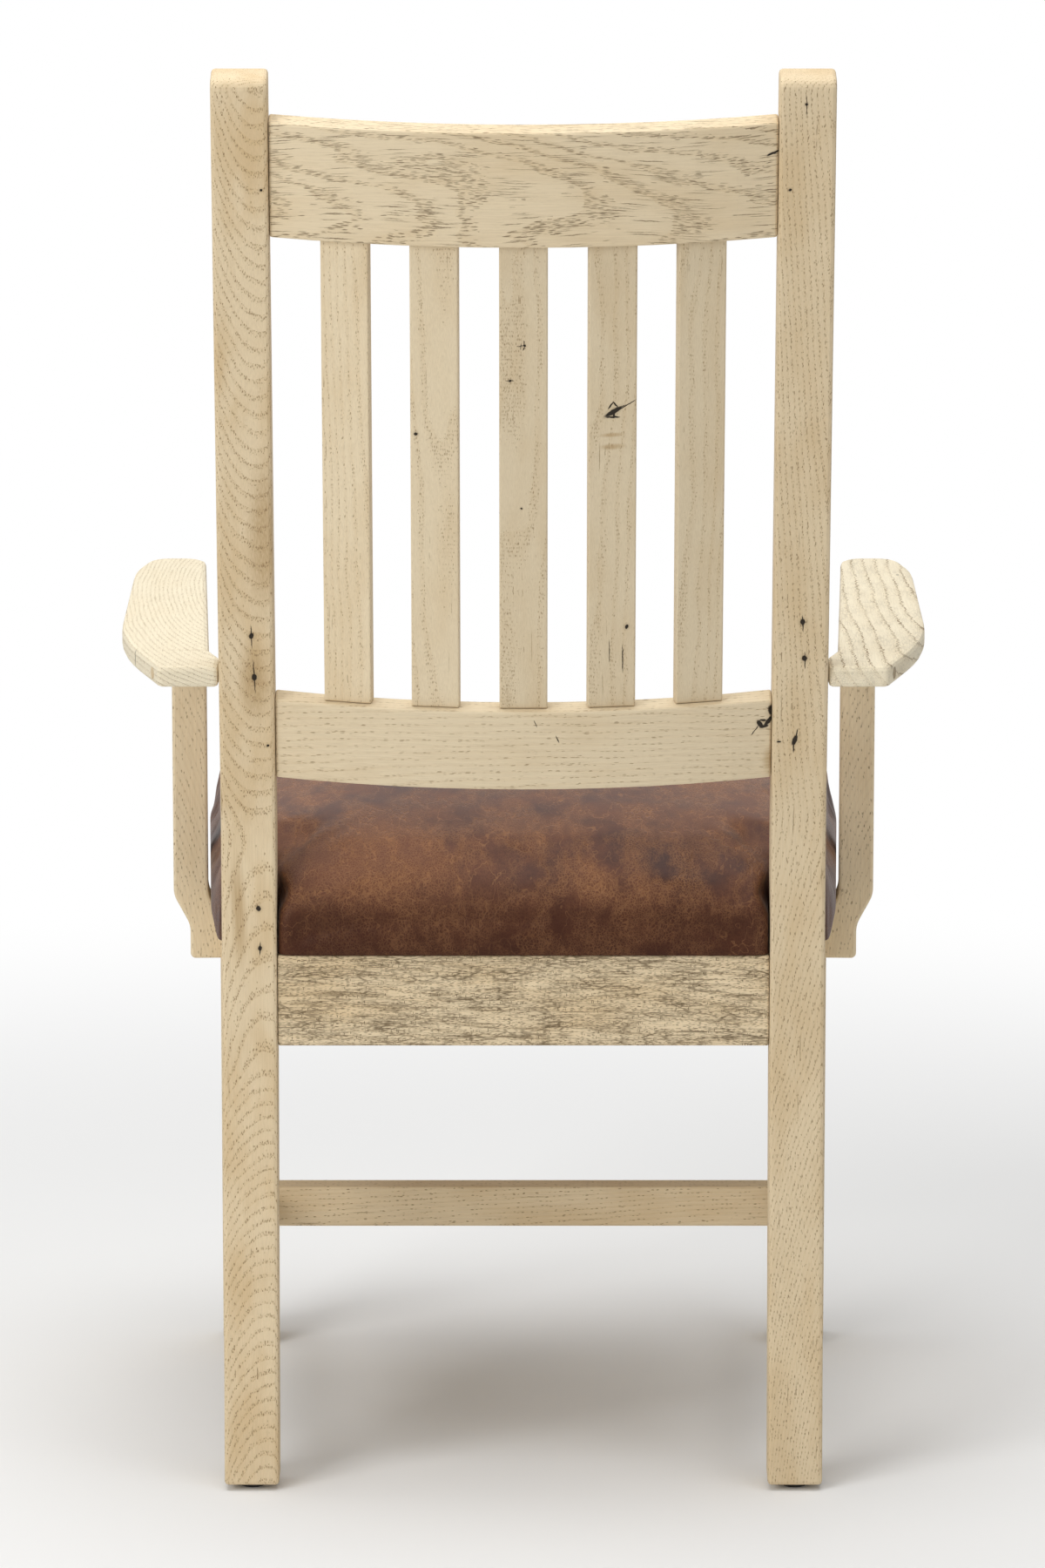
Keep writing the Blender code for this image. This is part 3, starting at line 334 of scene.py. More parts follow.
# Crest and lower back rail: bowed boards sawn from the plank's thickness, so that the curved face runs
# through the rings in long pointed loops. Both are tenoned into the posts. The lower one has a black
# knot at its right end and small checks at its middle.
lower_rail_scars = [
    ((-0.1750, 0.1655, 0.5928), (-0.1775, 0.1655, 0.5890), 0.0018),
    ((-0.1770, 0.1655, 0.5886), (-0.1815, 0.1655, 0.5895), 0.0013),
    ((-0.1760, 0.1655, 0.5940), (-0.1805, 0.1655, 0.5938), 0.0008),
    ((-0.1800, 0.1650, 0.5900), (-0.1865, 0.1650, 0.5978), 0.0018),
    ((-0.1844, 0.1650, 0.6030), (-0.1862, 0.1650, 0.5985), 0.0028),
    ((-0.1810, 0.1650, 0.6035), (-0.1845, 0.1650, 0.6025), 0.0004),
    ((-0.1755, 0.1655, 0.5905), (-0.1697, 0.1660, 0.5827), 0.0004),
    ((-0.0079, 0.1900, 0.5985), (-0.0100, 0.1888, 0.5935), 0.0003),
    ((-0.0241, 0.1874, 0.5865), (-0.0264, 0.1863, 0.5815), 0.0004),
]
lower_rail_stains = [((-0.1835, 0.1590, 0.5690), (-0.1840, 0.1580, 0.5560), 0.0070)]
crest_scars = [((-0.1851, 0.2391, 1.0312), (-0.1770, 0.2425, 1.0280), 0.0009)]
rail_rake = math.tan(math.radians(10.0))
rail_bend = 0.73
crest_oak = oak("crest_oak", "XZY", (0.0, 0.985, 0.270), -0.055, rail_bend, rail_rake, ring=0.0033,
                warp=4.0, pore=(0.0085, 0.0010), pores=1.6, lines=0.6, sway=0.03, light=0.99, bleach_and_highlight=0.15,
                tan=0.35, ink=(0.15, 0.102, 0.052, 1), seed=2.1, scars=crest_scars)
finish(crest_oak, "crest_rail")
lower_rail_oak = oak("lower_rail_oak", "XZY", (0.0, 0.430, 0.230), 0.02, 0.8 * rail_bend, rail_rake,
                     ring=0.0038, warp=2.5, pore=(0.0055, 0.0009), pores=0.6, lines=0.01, sway=0.03,
                     light=0.97, bleach_and_highlight=0.2, tan=0.25, ink=(0.34, 0.245, 0.14, 1), seed=8.7,
                     scars=lower_rail_scars, stains=lower_rail_stains)
finish(lower_rail_oak, "lower_back_rail")


# Back slats: thin straight-grained strips, eased on their edges and tenoned round the bow of the rails.
# One has a torn black knot with a crack to its edge, and others have pin knots and nail holes.
slat_scars = {
    2: [((0.0789, 0.2179, 0.8192), (0.0787, 0.2179, 0.8190), 0.0014)],
    3: [((-0.0008, 0.2343, 0.8871), (-0.0010, 0.2343, 0.8871), 0.0009),
        ((0.0046, 0.2343, 0.8862), (-0.0008, 0.2343, 0.8872), 0.0003),
        ((0.0018, 0.2345, 0.8885), (0.0020, 0.2338, 0.8842), 0.0003),
        ((-0.0012, 0.2343, 0.8870), (0.0002, 0.2336, 0.8835), 0.0003),
        ((-0.0005, 0.2350, 0.8908), (-0.0008, 0.2343, 0.8872), 0.0003),
        ((0.0096, 0.2296, 0.8605), (0.0096, 0.2296, 0.8605), 0.0010),
        ((0.0125, 0.2296, 0.8605), (0.0070, 0.2296, 0.8605), 0.0003),
        ((0.0014, 0.2123, 0.7624), (0.0014, 0.2123, 0.7624), 0.0009)],
    4: [((-0.0607, 0.2220, 0.8333), (-0.0712, 0.2224, 0.8395), 0.0018),
        ((-0.0622, 0.2226, 0.8385), (-0.0655, 0.2232, 0.8435), 0.0006),
        ((-0.0655, 0.2232, 0.8437), (-0.0690, 0.2228, 0.8400), 0.0006),
        ((-0.0602, 0.2216, 0.8322), (-0.0700, 0.2216, 0.8322), 0.0008),
        ((-0.0660, 0.2222, 0.8365), (-0.0662, 0.2217, 0.8328), 0.0010),
        ((-0.0650, 0.2219, 0.8345), (-0.0832, 0.2228, 0.8460), 0.0004),
        ((-0.0712, 0.2224, 0.8395), (-0.0742, 0.2226, 0.8412), 0.0003),
        ((-0.0764, 0.1919, 0.6703), (-0.0764, 0.1919, 0.6697), 0.0014),
        ((-0.0733, 0.1897, 0.6561), (-0.0735, 0.1858, 0.6342), 0.0004),
        ((-0.0636, 0.1912, 0.6597), (-0.0637, 0.1882, 0.6426), 0.0003)],
}
slat_stains = {
    2: [((0.0880, 0.2065, 0.7700), (0.0900, 0.1933, 0.6950), 0.0070)],
    4: [((-0.0560, 0.2195, 0.8180), (-0.0740, 0.2195, 0.8190), 0.0022),
        ((-0.0560, 0.2178, 0.8090), (-0.0740, 0.2178, 0.8100), 0.0030)],
}
# Each slat's paleness is partly painted shade: it falls from left to right, for the key light's fall-off
# across the back.
slat_tone_and_painted_shade = {1: 1.03, 2: 0.98, 3: 0.91, 4: 0.91, 5: 0.90}
for number, light in slat_tone_and_painted_shade.items():
    low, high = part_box("back_slat_%d" % number)
    middle = (low + high) / 2
    slat_pith = (middle.z, middle.x + 0.03 * (number - 2.6), middle.y - 0.05 - 0.02 * number)
    slat_oak = oak("slat_%d_oak" % number, "ZXY", slat_pith, rail_rake + 0.01, ring=0.0022,
                   pore=(0.0030, 0.0009), pores=0.6, light=light, bleach_and_highlight=0.2, tan=0.4,
                   ink=(0.36, 0.26, 0.145, 1), seed=3.7 * number, scars=slat_scars.get(number, ()),
                   stains=slat_stains.get(number, ()))
    finish(slat_oak, "back_slat_%d" % number)


# Front legs and seat rails: square legs and boards from the same planks, tenoned together. The rear rail
# keeps the coarse face of the old saw, with dark torn fibres along the grain.
HANDS = (("left", 1), ("right", -1))
for hand, side in HANDS:
    leg_oak = oak("front_leg_%s_oak" % hand, "ZXY", (0.2, side * 0.26, -0.31), 0.03 * side,
                  seed=12.0 + side)
    finish(leg_oak, "front_leg_" + hand)
    side_rail_oak = oak("side_rail_%s_oak" % hand, "YZX", (0.0, 0.34, side * 0.30), 0.05,
                        pore=(0.006, 0.0011), pores=0.7, tan=0.4, seed=15.0 + side)
    finish(side_rail_oak, "seat_rail_" + hand)
front_rail_oak = oak("front_rail_oak", "XZY", (0.05, 0.36, -0.19), 0.05, ring=0.0024, warp=3.0,
                     pore=(0.006, 0.0011), pores=0.7, tan=0.4, seed=18.4)
finish(front_rail_oak, "seat_rail_front")
rough_rail_oak = oak("rough_rail_oak", "XZY", (0.0, 0.30, 0.10), 0.04, ring=0.0060, warp=5.0,
                     pore=(0.0042, 0.0008), pores=26.0, lines=0.7, light=1.08, tan=0.5,
                     ink=(0.10, 0.066, 0.03, 1), sawn=1.0, seed=21.9)
finish(rough_rail_oak, "seat_rail_back")


# Stretchers and corner blocks: the stretchers tie the legs low down; the blocks are glued into the
# corners of the seat frame, out of sight.
for hand, side in HANDS:
    stretcher_oak = oak("side_stretcher_%s_oak" % hand, "YZX", (0.0, 0.19, side * 0.26), 0.04, pores=0.7,
                        seed=24.0 + side)
    finish(stretcher_oak, "side_stretcher_" + hand)
cross_stretcher_oak = oak("cross_stretcher_oak", "XZY", (0.0, 0.13, 0.02), 0.04, pores=0.7, seed=27.2)
finish(cross_stretcher_oak, "cross_stretcher")
block_oak = oak("corner_block_oak", "XYZ", (0.0, 0.0, 0.33), 0.05, pores=0.6, tan=0.7, seed=30.5)
finish(block_oak, *[name for name in nodes if name.startswith("corner_block")])


# Arms and arm posts: flat boards shaped with a bowed outer edge, screwed to the back posts under plugs
# and tenoned on posts whose curved feet are lapped on the side rails. The right arm shows wide dark
# rings, the left one finer speckled ones.
left_arm_scars = [((0.2899, 0.1010, 0.6350), (0.2899, 0.1010, 0.6205), 0.0006)]
left_arm_stains = [((0.2150, 0.1080, 0.6230), (0.2700, 0.1080, 0.6230), 0.0170)]
right_arm_scars = [((-0.2937, -0.1912, 0.6356), (-0.2937, -0.1912, 0.6356), 0.0012)]
# Painted highlight: the arms are whitened well past the other boards, for the strong light on their tops;
# under it lies bleached wood.
left_arm_oak = oak("left_arm_oak", "YXZ", (-0.15, 0.205, 0.638), 0.28, ring=0.0034, pore=(0.0022, 0.0011),
                   pores=0.9, lines=0.0, seam=0.25, end_seam=0.9, light=1.03, bleach_and_highlight=0.75, tan=0.15,
                   seed=33.8, inward=(1, 1, 0), scars=left_arm_scars, stains=left_arm_stains)
finish(left_arm_oak, "arm_left")
right_arm_oak = oak("right_arm_oak", "YXZ", (-0.25, -0.320, 0.634), 0.10, ring=0.0100, warp=1.0,
                    pore=(0.0026, 0.0009), pores=0.25, lines=0.0, seam=1.0, end_seam=0.15, light=1.07,
                    bleach_and_highlight=0.75, tan=0.2, ink=(0.20, 0.125, 0.058, 1), sawn=0.25, seed=37.1,
                    inward=(0, 0, 1), scars=right_arm_scars)
finish(right_arm_oak, "arm_right")
left_plug_oak = oak("left_plug_oak", "XYZ", (0.0, 0.12, 0.60), pores=0.5, light=0.95, tan=1.0, seed=40.6)
finish(left_plug_oak, "arm_plug_left")
right_plug_oak = oak("right_plug_oak", "XYZ", (0.0, 0.12, 0.60), pores=0.9, light=0.55, tan=1.0, seed=41.9)
finish(right_plug_oak, "arm_plug_right")
for hand, side in HANDS:
    # The arm posts' paleness is partly painted light, the right one's most, lifting the shade they stand in
    # under the arms.
    arm_post_oak = oak("arm_post_%s_oak" % hand, "ZXY", (0.5, side * 0.285, 0.01), 0.16, ring=0.0017,
                       pores=0.7, light=1.09 - 0.03 * side, bleach_and_highlight=0.12, tan=0.35, seed=43.0 + 3 * side)
    finish(arm_post_oak, "arm_post_" + hand)


# Screws: zinc-plated steel, driven up through the corner blocks into the seat board, out through the side
# rails into the arm posts, and through the arms into the back posts under the plugs.
PALE_ZINC = (0.62, 0.62, 0.6, 1)
DULL_ZINC = (0.42, 0.43, 0.45, 1)
zinc, steel = start_material("zinc_plate")
spot = steel.node("TexCoord", {}, {}, "Object")
bloom = steel.node("TexNoise", {}, {"Vector": spot, "Scale": 900.0, "Detail": 3.0}, "Fac")
zinc_colour = steel.mix(bloom.fade(0.3, 0.7), PALE_ZINC, DULL_ZINC)
plate = steel.node("BsdfPrincipled", {}, {
    "Base Color": zinc_colour, "Roughness": bloom * 0.3 + 0.25, "Metallic": 1.0})
steel.node("OutputMaterial", {}, {"Surface": plate})
finish(zinc, *[name for name in nodes if "screw" in name])


# Seat board: birch plywood that carries the foam, screwed down on the corner blocks. It is seen only from
# below, inside the seat rails, and its plies only at the edge.
PLY_THICKNESS = 0.0015
PALE_BIRCH = (0.68, 0.53, 0.34, 1)
WARM_BIRCH = (0.54, 0.38, 0.21, 1)
GLUE_BROWN = (0.36, 0.24, 0.13, 1)
ply, birch = start_material("birch_ply_board")
spot = birch.node("TexCoord", {}, {}, "Object")
rise = birch.node("SeparateXYZ", {}, {"Vector": spot}, "Z")
plies = birch.math("PINGPONG", rise, PLY_THICKNESS) / PLY_THICKNESS
board_map = birch.node("Mapping", {}, {"Vector": spot, "Scale": (18.0, 160.0, 60.0)})
figure = birch.node("TexNoise", {}, {
    "Vector": board_map, "Scale": 1.0, "Detail": 4.0, "Distortion": 0.6}, "Fac")
ply_colour = birch.mix(figure.fade(0.3, 0.7), PALE_BIRCH, WARM_BIRCH)
ply_colour = birch.mix(plies.fade(0.5, 0.8) * 0.35, ply_colour, GLUE_BROWN)
board_shader = birch.node("BsdfPrincipled", {}, {"Base Color": ply_colour, "Roughness": figure * 0.2 + 0.6})
birch.node("OutputMaterial", {}, {"Surface": board_shader})
finish(ply, "seat_board")


# Seat cushion: foam under one piece of distressed chestnut leather, pulled tight over the board, notched
# round the back posts and folded under. The leather is blown out from a slightly smaller form by a cloth
# simulation, with its lower edge held where it is folded under the board.
cover_low, cover_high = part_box("seat_cover")
post_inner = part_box("back_post_left")[0].x
FRONT_HALF = 0.2500
REAR_HALF = 0.2352
TONGUE_DEPTH = 0.0375
TONGUE_GAP = 0.0012
NEAR_POST = 0.012
BEHIND_NOTCH = 0.12
CUSHION_RISE = 0.073
CUSHION_CROWN = 0.013
notch_y = cover_high.y - TONGUE_DEPTH


def seat_plan(inset, spread):
    """Outline of the seat, drawn in by an inset, as corners from the front left round by the back.

    spread widens the tongue between the posts.
    """
    notch = notch_y - inset
    tongue = post_inner - TONGUE_GAP - inset + spread
    half = [(FRONT_HALF - inset, cover_low.y + inset), (REAR_HALF - inset, notch),
            (tongue, notch), (tongue, cover_high.y - inset)]
    return half + [(-x, y) for x, y in half[::-1]]


def seat_prism(inset, spread, low, high, outer_radius, tongue_radius):
    """A bmesh of the seat's outline between two heights, with rounded corners."""
    bm = bmesh.new()
    base = bm.faces.new([bm.verts.new((x, y, low)) for x, y in seat_plan(inset, spread)])
    raised = bmesh.ops.extrude_face_region(bm, geom=[base])["geom"]
    lifted = [item for item in raised if isinstance(item, bmesh.types.BMVert)]
    bmesh.ops.translate(bm, vec=(0, 0, high - low), verts=lifted)
    bmesh.ops.recalc_face_normals(bm, faces=bm.faces)
    for radius, near_post, behind in ((outer_radius, False, False), (tongue_radius, True, True)):
        corners = []
        for edge in bm.edges:
            foot, head = edge.verts
            upright = abs(foot.co.z - head.co.z) > 0.01
            by_post = abs(abs(foot.co.x) - post_inner) < NEAR_POST
            if upright and by_post == near_post and (foot.co.y > BEHIND_NOTCH) == behind:
                corners.append(edge)
        bmesh.ops.bevel(bm, geom=corners, offset=radius, offset_type="OFFSET", segments=5, profile=0.5,
                        affect="EDGES", material=-1)
    return bm


def put(name, bm):
    """Make an object of a bmesh."""
    mesh = bpy.data.meshes.new(name)
    bm.to_mesh(mesh)
    bm.free()
    piece = bpy.data.objects.new(name, mesh)
    bpy.context.scene.collection.objects.link(piece)
    return piece


def settle(piece):
    """Replace a piece's mesh by what its modifiers make of it."""
    evaluated = piece.evaluated_get(bpy.context.evaluated_depsgraph_get())
    mesh = bpy.data.meshes.new_from_object(evaluated)
    piece.modifiers.clear()
    piece.data = mesh


CAGE_INSET = 0.0025
TONGUE_SPREAD = 0.005
HEM = 0.006
CORNER_RADIUS = 0.018
TONGUE_RADIUS = 0.006
TOP_RADIUS = 0.017
cage = seat_prism(CAGE_INSET, TONGUE_SPREAD, cover_low.z - HEM, cover_low.z + CUSHION_RISE,
                  CORNER_RADIUS, TONGUE_RADIUS)
cage.normal_update()
top_edges = []
for edge in cage.edges:
    on_top = min(v.co.z for v in edge.verts) > cover_low.z + 0.01
    turns = len({round(f.normal.z, 1) for f in edge.link_faces}) == 2
    beside_post = all(abs(abs(v.co.x) - post_inner) < NEAR_POST and v.co.y > notch_y - 0.01
                      for v in edge.verts)
    before_post = all(abs(v.co.y - notch_y + CAGE_INSET) < 0.0005 for v in edge.verts)
    if on_top and turns and not beside_post and not before_post:
        top_edges.append(edge)
bmesh.ops.bevel(cage, geom=top_edges, offset=TOP_RADIUS, offset_type="OFFSET", segments=5, profile=0.5,
                affect="EDGES", material=-1)
cushion = put("leather_cushion", cage)


CELL = 0.005


def even_mesh(piece):
    """Remesh a piece into even cells."""
    remesh = piece.modifiers.new("even_mesh", "REMESH")
    remesh.mode = "VOXEL"
    remesh.voxel_size = CELL
    settle(piece)


# The rear edge is rolled over, fullest a little above the seat rail and tucked in below that.
even_mesh(cushion)
BELLY = 0.028
REAR_ROLL = 0.050
REAR_TUCK = 0.0045
REAR_SWELL = 0.0095
rear = cover_high.y - CAGE_INSET
begin = rear - 2 * REAR_ROLL
for vertex in cushion.data.vertices:
    height = vertex.co.z - cover_low.z
    if vertex.co.y > begin:
        if height > BELLY:
            lift = min(1.0, (height - BELLY) / (CUSHION_RISE - BELLY))
            reach = rear + REAR_SWELL - REAR_ROLL + REAR_ROLL * math.sqrt(1 - lift ** 2)
        else:
            reach = rear + REAR_SWELL - REAR_TUCK * (1 - height / BELLY) ** 2
        vertex.co.y = begin + (vertex.co.y - begin) * (reach - begin) / (rear - begin)
even_mesh(cushion)

# The top is crowned and falls away towards the rear.
SMOOTHINGS = 5
REAR_DROOP = 0.010
DROOP_LENGTH = 0.130
HEM_SHARE = 0.04
middle_y = (cover_low.y + cover_high.y) / 2
half_depth = (cover_high.y - cover_low.y) / 2
skin = bmesh.new()
skin.from_mesh(cushion.data)
for step in range(SMOOTHINGS):
    bmesh.ops.smooth_vert(skin, verts=skin.verts, factor=0.5, use_axis_x=True, use_axis_y=True,
                          use_axis_z=True)
for vertex in skin.verts:
    x, y, z = vertex.co
    share = max(0.0, min(1.0, (z - cover_low.z) / CUSHION_RISE))
    across = min(1.0, abs(x) / FRONT_HALF)
    along_seat = min(1.0, abs(y - middle_y) / half_depth)
    vertex.co.z += share ** 2 * CUSHION_CROWN * (1 - across ** 2) * (1 - along_seat ** 2)
    fall = max(0.0, min(1.0, (y - rear) / DROOP_LENGTH + 1))
    vertex.co.z -= share ** 2 * REAR_DROOP * fall ** 2
    if share < HEM_SHARE:
        vertex.co.z = cover_low.z
skin.to_mesh(cushion.data)
skin.free()

# Foam pushes the leather out from inside.
HELD_HEIGHT = 0.004
LAST_FRAME = 20
MOST_SWELL = 0.006
held = cushion.vertex_groups.new(name="folded_under")
held.add([v.index for v in cushion.data.vertices if v.co.z < cover_low.z + HELD_HEIGHT], 1.0, "REPLACE")
tight = [v.co.copy() for v in cushion.data.vertices]
cloth = cushion.modifiers.new("leather", "CLOTH")
cloth.settings.quality = 6
cloth.settings.mass = 0.4
cloth.settings.tension_stiffness = 25
cloth.settings.compression_stiffness = 25
cloth.settings.shear_stiffness = 10
cloth.settings.bending_stiffness = 1.5
cloth.settings.use_pressure = True
cloth.settings.uniform_pressure_force = 4.0
cloth.settings.vertex_group_mass = held.name
cloth.settings.effector_weights.gravity = 0.0
for number in range(1, LAST_FRAME + 1):
    bpy.context.scene.frame_set(number)
evaluated = cushion.evaluated_get(bpy.context.evaluated_depsgraph_get())
swollen = [v.co.copy() for v in evaluated.data.vertices]
cushion.modifiers.clear()
bpy.context.scene.frame_set(1)
for vertex, old, new in zip(cushion.data.vertices, tight, swollen):
    move = new - old
    if move.length > MOST_SWELL:
        move *= MOST_SWELL / move.length
    vertex.co = old + move
cushion.vertex_groups.clear()

# The leather lies against the back posts, with a pinched fold beside each of them.
POST_CLEARANCE = 0.0005
SIDE_SWELL = 0.0006
PINCH = 0.007
PINCH_HEIGHT = 0.046
PINCH_SPREAD = 0.010
PINCH_WIDTH = 0.014
PINCH_LENGTH = 0.022
clear_of_post = post_inner - POST_CLEARANCE
for vertex in cushion.data.vertices:
    x, y, z = vertex.co
    share = (y - cover_low.y) / (notch_y - cover_low.y)
    widest = FRONT_HALF + (REAR_HALF - FRONT_HALF) * share + SIDE_SWELL
    if y > notch_y - POST_CLEARANCE and abs(x) > clear_of_post:
        if y - notch_y < abs(x) - clear_of_post:
            vertex.co.y = notch_y - POST_CLEARANCE
        else:
            vertex.co.x = math.copysign(clear_of_post, x)
    elif abs(x) > widest:
        vertex.co.x = math.copysign(widest, x)
    aside = max(0.0, min(1.0, (abs(x) - clear_of_post) / PINCH_WIDTH + 1.0))
    behind = max(0.0, min(1.0, (y - notch_y) / PINCH_LENGTH))
    fold = math.exp(-((z - cover_low.z - PINCH_HEIGHT) / PINCH_SPREAD) ** 2)
    vertex.co.x -= math.copysign(PINCH * aside * behind * fold, x)
    vertex.co.z = max(vertex.co.z, cover_low.z)

# The underside is hollow, to sit over the board.
POCKET_INSET = 0.0065
POCKET_DROP = 0.02
POCKET_CORNER_RADIUS = 0.026
POCKET_TONGUE_RADIUS = 0.022
BOARD_CLEARANCE = 0.0006
board_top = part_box("seat_board")[1].z + BOARD_CLEARANCE
pocket = put("board_pocket", seat_prism(POCKET_INSET, 0.0, cover_low.z - POCKET_DROP, board_top,
                                        POCKET_CORNER_RADIUS, POCKET_TONGUE_RADIUS))
fine = cushion.modifiers.new("fine", "SUBSURF")
fine.levels = 1
fine.render_levels = 1
hollow = cushion.modifiers.new("room_for_board", "BOOLEAN")
hollow.operation = "DIFFERENCE"
hollow.object = pocket
hollow.solver = "EXACT"
settle(cushion)
bpy.data.objects.remove(pocket)
cushion.data.shade_smooth()

DARK_HIDE = (0.044, 0.018, 0.014, 1)
LIGHT_HIDE = (0.126, 0.050, 0.029, 1)
RUBBED_HIDE = (0.185, 0.078, 0.036, 1)
# Painted shade: the near-black brown the leather darkens to towards its lower edge.
PAINTED_SHADE_HIDE = (0.036, 0.008, 0.002, 1)
VEIN_TAN = (0.290, 0.140, 0.062, 1)
STRETCH = (1.0, 0.5, 0.9)
# Heights between which the painted shade on the leather fades in.
PAINTED_SHADE_TOP = 0.470
PAINTED_SHADE_FULL = 0.434
leather, hide = start_material("distressed_leather")
spot = hide.node("TexCoord", {}, {}, "Object")
swirl = hide.node("TexNoise", {}, {"Vector": spot, "Scale": 55.0, "Detail": 3.0}, "Color")
swirl = hide.vector("MULTIPLY", hide.vector("SUBTRACT", swirl, (0.5, 0.5, 0.5)), (0.010, 0.010, 0.010))
strayed = hide.vector("ADD", hide.vector("MULTIPLY", spot, (1.0, 0.7, 0.8)), swirl)
cloud = hide.node("TexNoise", {}, {"Vector": spot, "Scale": 14.0, "Detail": 5.0, "Roughness": 0.6}, "Fac")


def pulled(turn, scale, detail):
    """How far a point lies from the nearest wrinkle of a set that runs one way over the hide."""
    drawn = hide.node("Mapping", {}, {"Vector": strayed, "Rotation": turn, "Scale": STRETCH})
    sockets = {"Vector": drawn, "Scale": scale, "Detail": detail, "Roughness": 0.6}
    pull = hide.node("TexNoise", {}, sockets, "Fac")
    return hide.math("ABSOLUTE", pull - 0.5)


ridge = pulled((0.0, 0.3, 0.6), 30.0, 4.0)
cross_ridge = pulled((0.0, -0.4, -0.9), 42.0, 3.0)
handled = hide.node("TexNoise", {}, {"Vector": spot, "Scale": 8.0, "Detail": 3.0}, "Fac")
rubbed = ridge.fade(0.15, 0.0) * (handled.fade(0.30, 0.70) * 0.5 + 0.25) + cloud.fade(0.42, 0.75) * 0.35
crackle = hide.node("TexVoronoi", {"feature": "DISTANCE_TO_EDGE"}, {"Vector": strayed, "Scale": 540.0})
crease = hide.node("TexVoronoi", {"feature": "DISTANCE_TO_EDGE"}, {"Vector": strayed, "Scale": 165.0})
veins = crackle.fade(0.15, 0.02) * (rubbed * 0.75 + 0.06)
veins = hide.math("MAXIMUM", veins, crease.fade(0.05, 0.0) * (rubbed * 0.45 + 0.06))
wrinkle = hide.math("MAXIMUM", ridge.fade(0.010, 0.0), cross_ridge.fade(0.010, 0.0))
veins = hide.math("MAXIMUM", veins, wrinkle * cloud.fade(0.3, 0.6) * 0.75)
pebble = hide.node("TexVoronoi", {}, {"Vector": spot, "Scale": 900.0}, "Distance")
hide_colour = hide.mix(cloud.fade(0.3, 0.66), DARK_HIDE, LIGHT_HIDE)
hide_colour = hide.mix(rubbed * 0.52, hide_colour, RUBBED_HIDE)
# Painted shade: the leather darkens towards its lower edge, where its rolled rear face lies in shade, and
# its veins fade there.
painted_shade_low = hide.node("SeparateXYZ", {}, {"Vector": spot}, "Z").fade(PAINTED_SHADE_TOP, PAINTED_SHADE_FULL)
hide_colour = hide.mix(painted_shade_low * 0.70, hide_colour, PAINTED_SHADE_HIDE)
hide_colour = hide.mix(veins * (1 - painted_shade_low * 0.5), hide_colour, VEIN_TAN)
relief = pebble * 0.3 - veins - ridge.fade(0.02, 0.0) * 0.8
grain = hide.node("Bump", {}, {"Height": relief, "Strength": 0.5, "Distance": 0.0004})
surface = hide.node("BsdfPrincipled", {}, {
    "Base Color": hide_colour, "Roughness": cloud * 0.25 + 0.34, "Normal": grain,
    "Specular IOR Level": 0.11, "Sheen Weight": 0.10, "Sheen Roughness": 0.35,
    "Sheen Tint": (1.0, 0.85, 0.78, 1)})
hide.node("OutputMaterial", {}, {"Surface": surface})
cushion.data.materials.clear()
cushion.data.materials.append(leather)
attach(cushion, "root")
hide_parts("seat_cover", "seat_foam")


# Glides: dark nylon discs, moulded in one with a pin that is pressed into the end of each leg.
# Their faces are scuffed from sliding on floors.
DARK_NYLON = (0.028, 0.026, 0.024, 1)
SCUFFED_NYLON = (0.075, 0.07, 0.065, 1)
nylon, moulded = start_material("moulded_nylon")
spot = moulded.node("TexCoord", {}, {}, "Object")
scuff = moulded.node("TexNoise", {}, {"Vector": spot, "Scale": 500.0, "Detail": 3.0}, "Fac")
nylon_colour = moulded.mix(scuff.fade(0.55, 0.8), DARK_NYLON, SCUFFED_NYLON)
glide_shader = moulded.node("BsdfPrincipled", {}, {
    "Base Color": nylon_colour, "Roughness": scuff * 0.3 + 0.35})
moulded.node("OutputMaterial", {}, {"Surface": glide_shader})
finish(nylon, *[name for name in nodes if name.startswith("glide")])


# Floor: a pale paper sweep that takes the chair's shadow. Away from the chair it fades to plain white, for
# the camera and for reflections alone.
PAPER_GREY = (0.86, 0.86, 0.855, 1)
PLAIN_WHITE = (1, 1, 1, 1)
FLOOR_REACH = 40.0
FADE_START = 0.7
FADE_END = 1.8


def background_rays(shade):
    """1 for rays that show the background: from the camera, or by way of metal or glass."""
    rays = shade.node("LightPath", {}, {}, "Is Camera Ray")
    mirrored = shade.math("MAXIMUM", rays.out("Is Glossy Ray"), rays.out("Is Transmission Ray"))
    return shade.math("MAXIMUM", rays, mirrored)


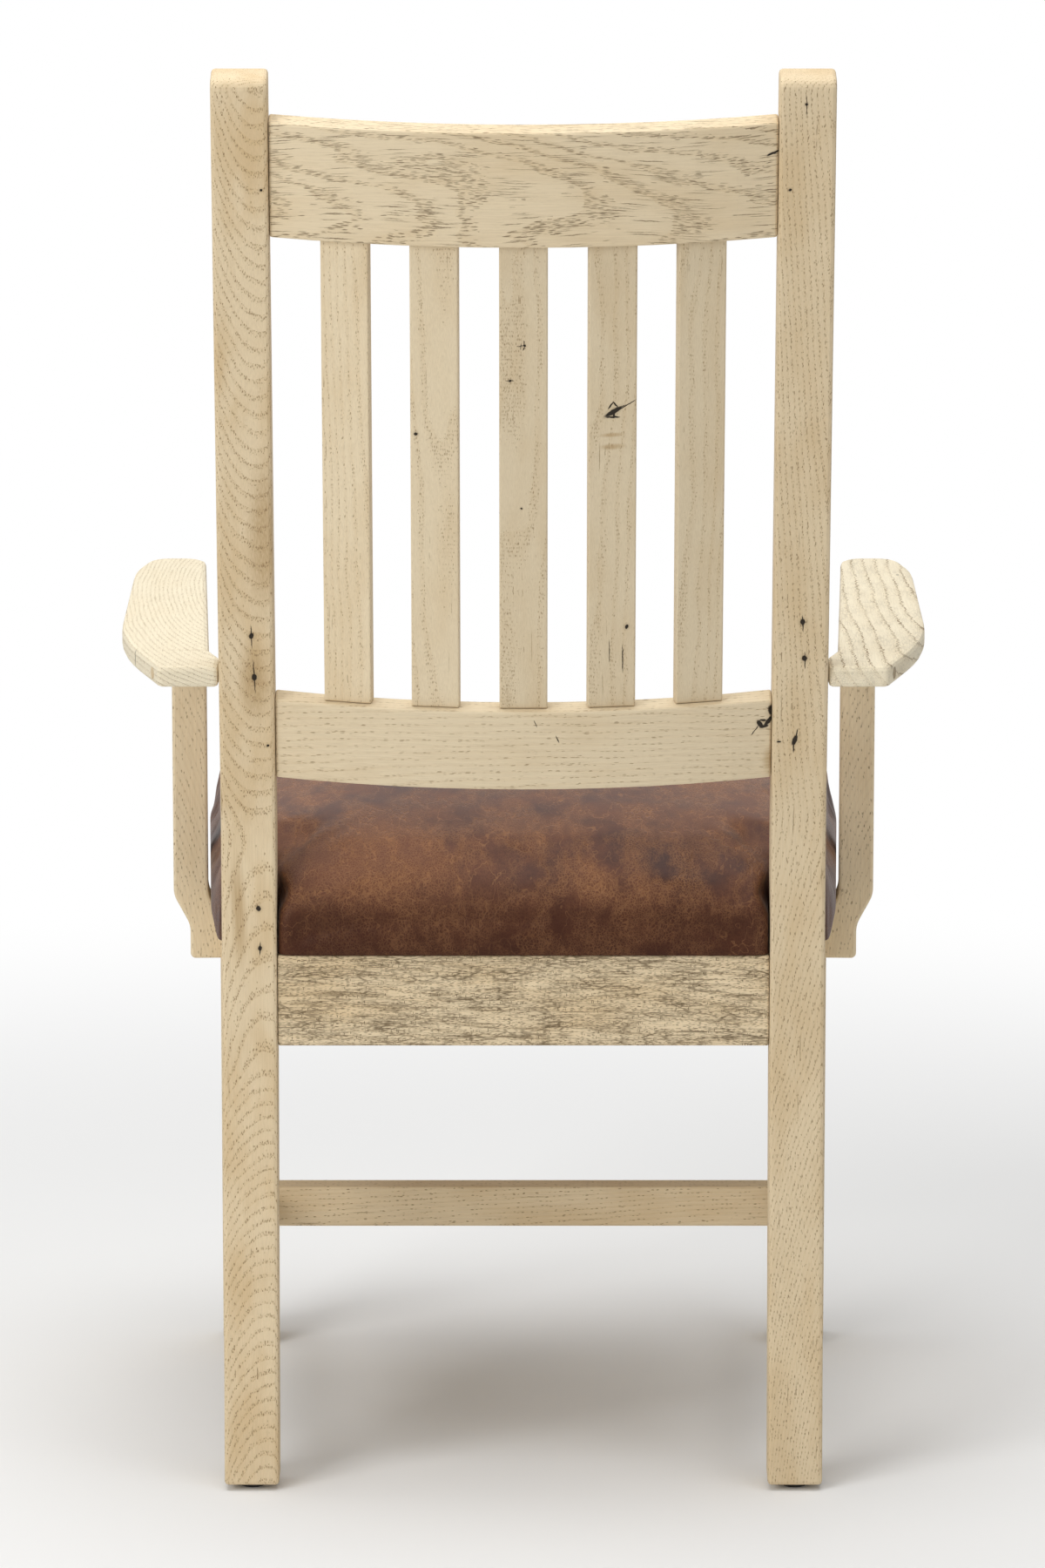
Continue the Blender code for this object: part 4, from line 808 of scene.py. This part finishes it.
floor_bm = bmesh.new()
bmesh.ops.create_grid(floor_bm, x_segments=1, y_segments=1, size=FLOOR_REACH)
floor = put("floor", floor_bm)
paper, sweep = start_material("pale_sweep")
spot = sweep.node("TexCoord", {}, {}, "Object")
far = sweep.vector("LENGTH", spot).fade(FADE_START, FADE_END)
matt = sweep.node("BsdfDiffuse", {}, {"Color": PAPER_GREY})
white = sweep.node("Emission", {}, {"Color": PLAIN_WHITE, "Strength": 1.0})
blend = sweep.node("MixShader", {}, {0: far * background_rays(sweep), 1: matt, 2: white})
sweep.node("OutputMaterial", {}, {"Surface": blend})
floor.data.materials.append(paper)


# Light: a soft box on the camera's left, another overhead and a weak one on the right. An even pale sky
# fills the shadows, and shows as white.
SKY_LIGHT = 0.28


def soft_box(name, location, size, power):
    """A square lamp that faces the chair."""
    lamp = bpy.data.lights.new(name, "AREA")
    lamp.shape = "SQUARE"
    lamp.size = size
    lamp.energy = power
    holder = bpy.data.objects.new(name, lamp)
    bpy.context.scene.collection.objects.link(holder)
    holder.location = location
    aim = Vector((0, 0.05, 0.6)) - Vector(location)
    holder.rotation_euler = aim.to_track_quat("-Z", "Y").to_euler()


soft_box("key_box", (3.0, 3.2, 2.4), 2.4, 98.0)
soft_box("overhead_box", (0.1, 0.1, 3.5), 2.8, 88.0)
soft_box("fill_box", (-2.6, 2.8, 1.5), 1.8, 12.0)
sky = bpy.data.worlds.new("even_sky")
sky.use_nodes = True
sky.node_tree.nodes.clear()
air = Shade(sky.node_tree)
sky_strength = background_rays(air) * (1 - SKY_LIGHT) + SKY_LIGHT
dome = air.node("Background", {}, {"Color": PLAIN_WHITE, "Strength": sky_strength})
air.node("OutputWorld", {}, {"Surface": dome})
bpy.context.scene.world = sky


# Camera: far behind the chair and a little above it, with a long lens, looking down on the back as the
# photograph does.
lens = bpy.data.cameras.new("rear_camera")
lens.sensor_width = 36.0
lens.lens = 189.94
camera = bpy.data.objects.new("rear_camera", lens)
bpy.context.scene.collection.objects.link(camera)
camera.location = (0.0007, 6.1922, 1.8583)
camera.rotation_euler = (math.radians(77.709), 0, math.radians(180))
bpy.context.scene.camera = camera
bpy.context.scene.view_settings.view_transform = "Standard"
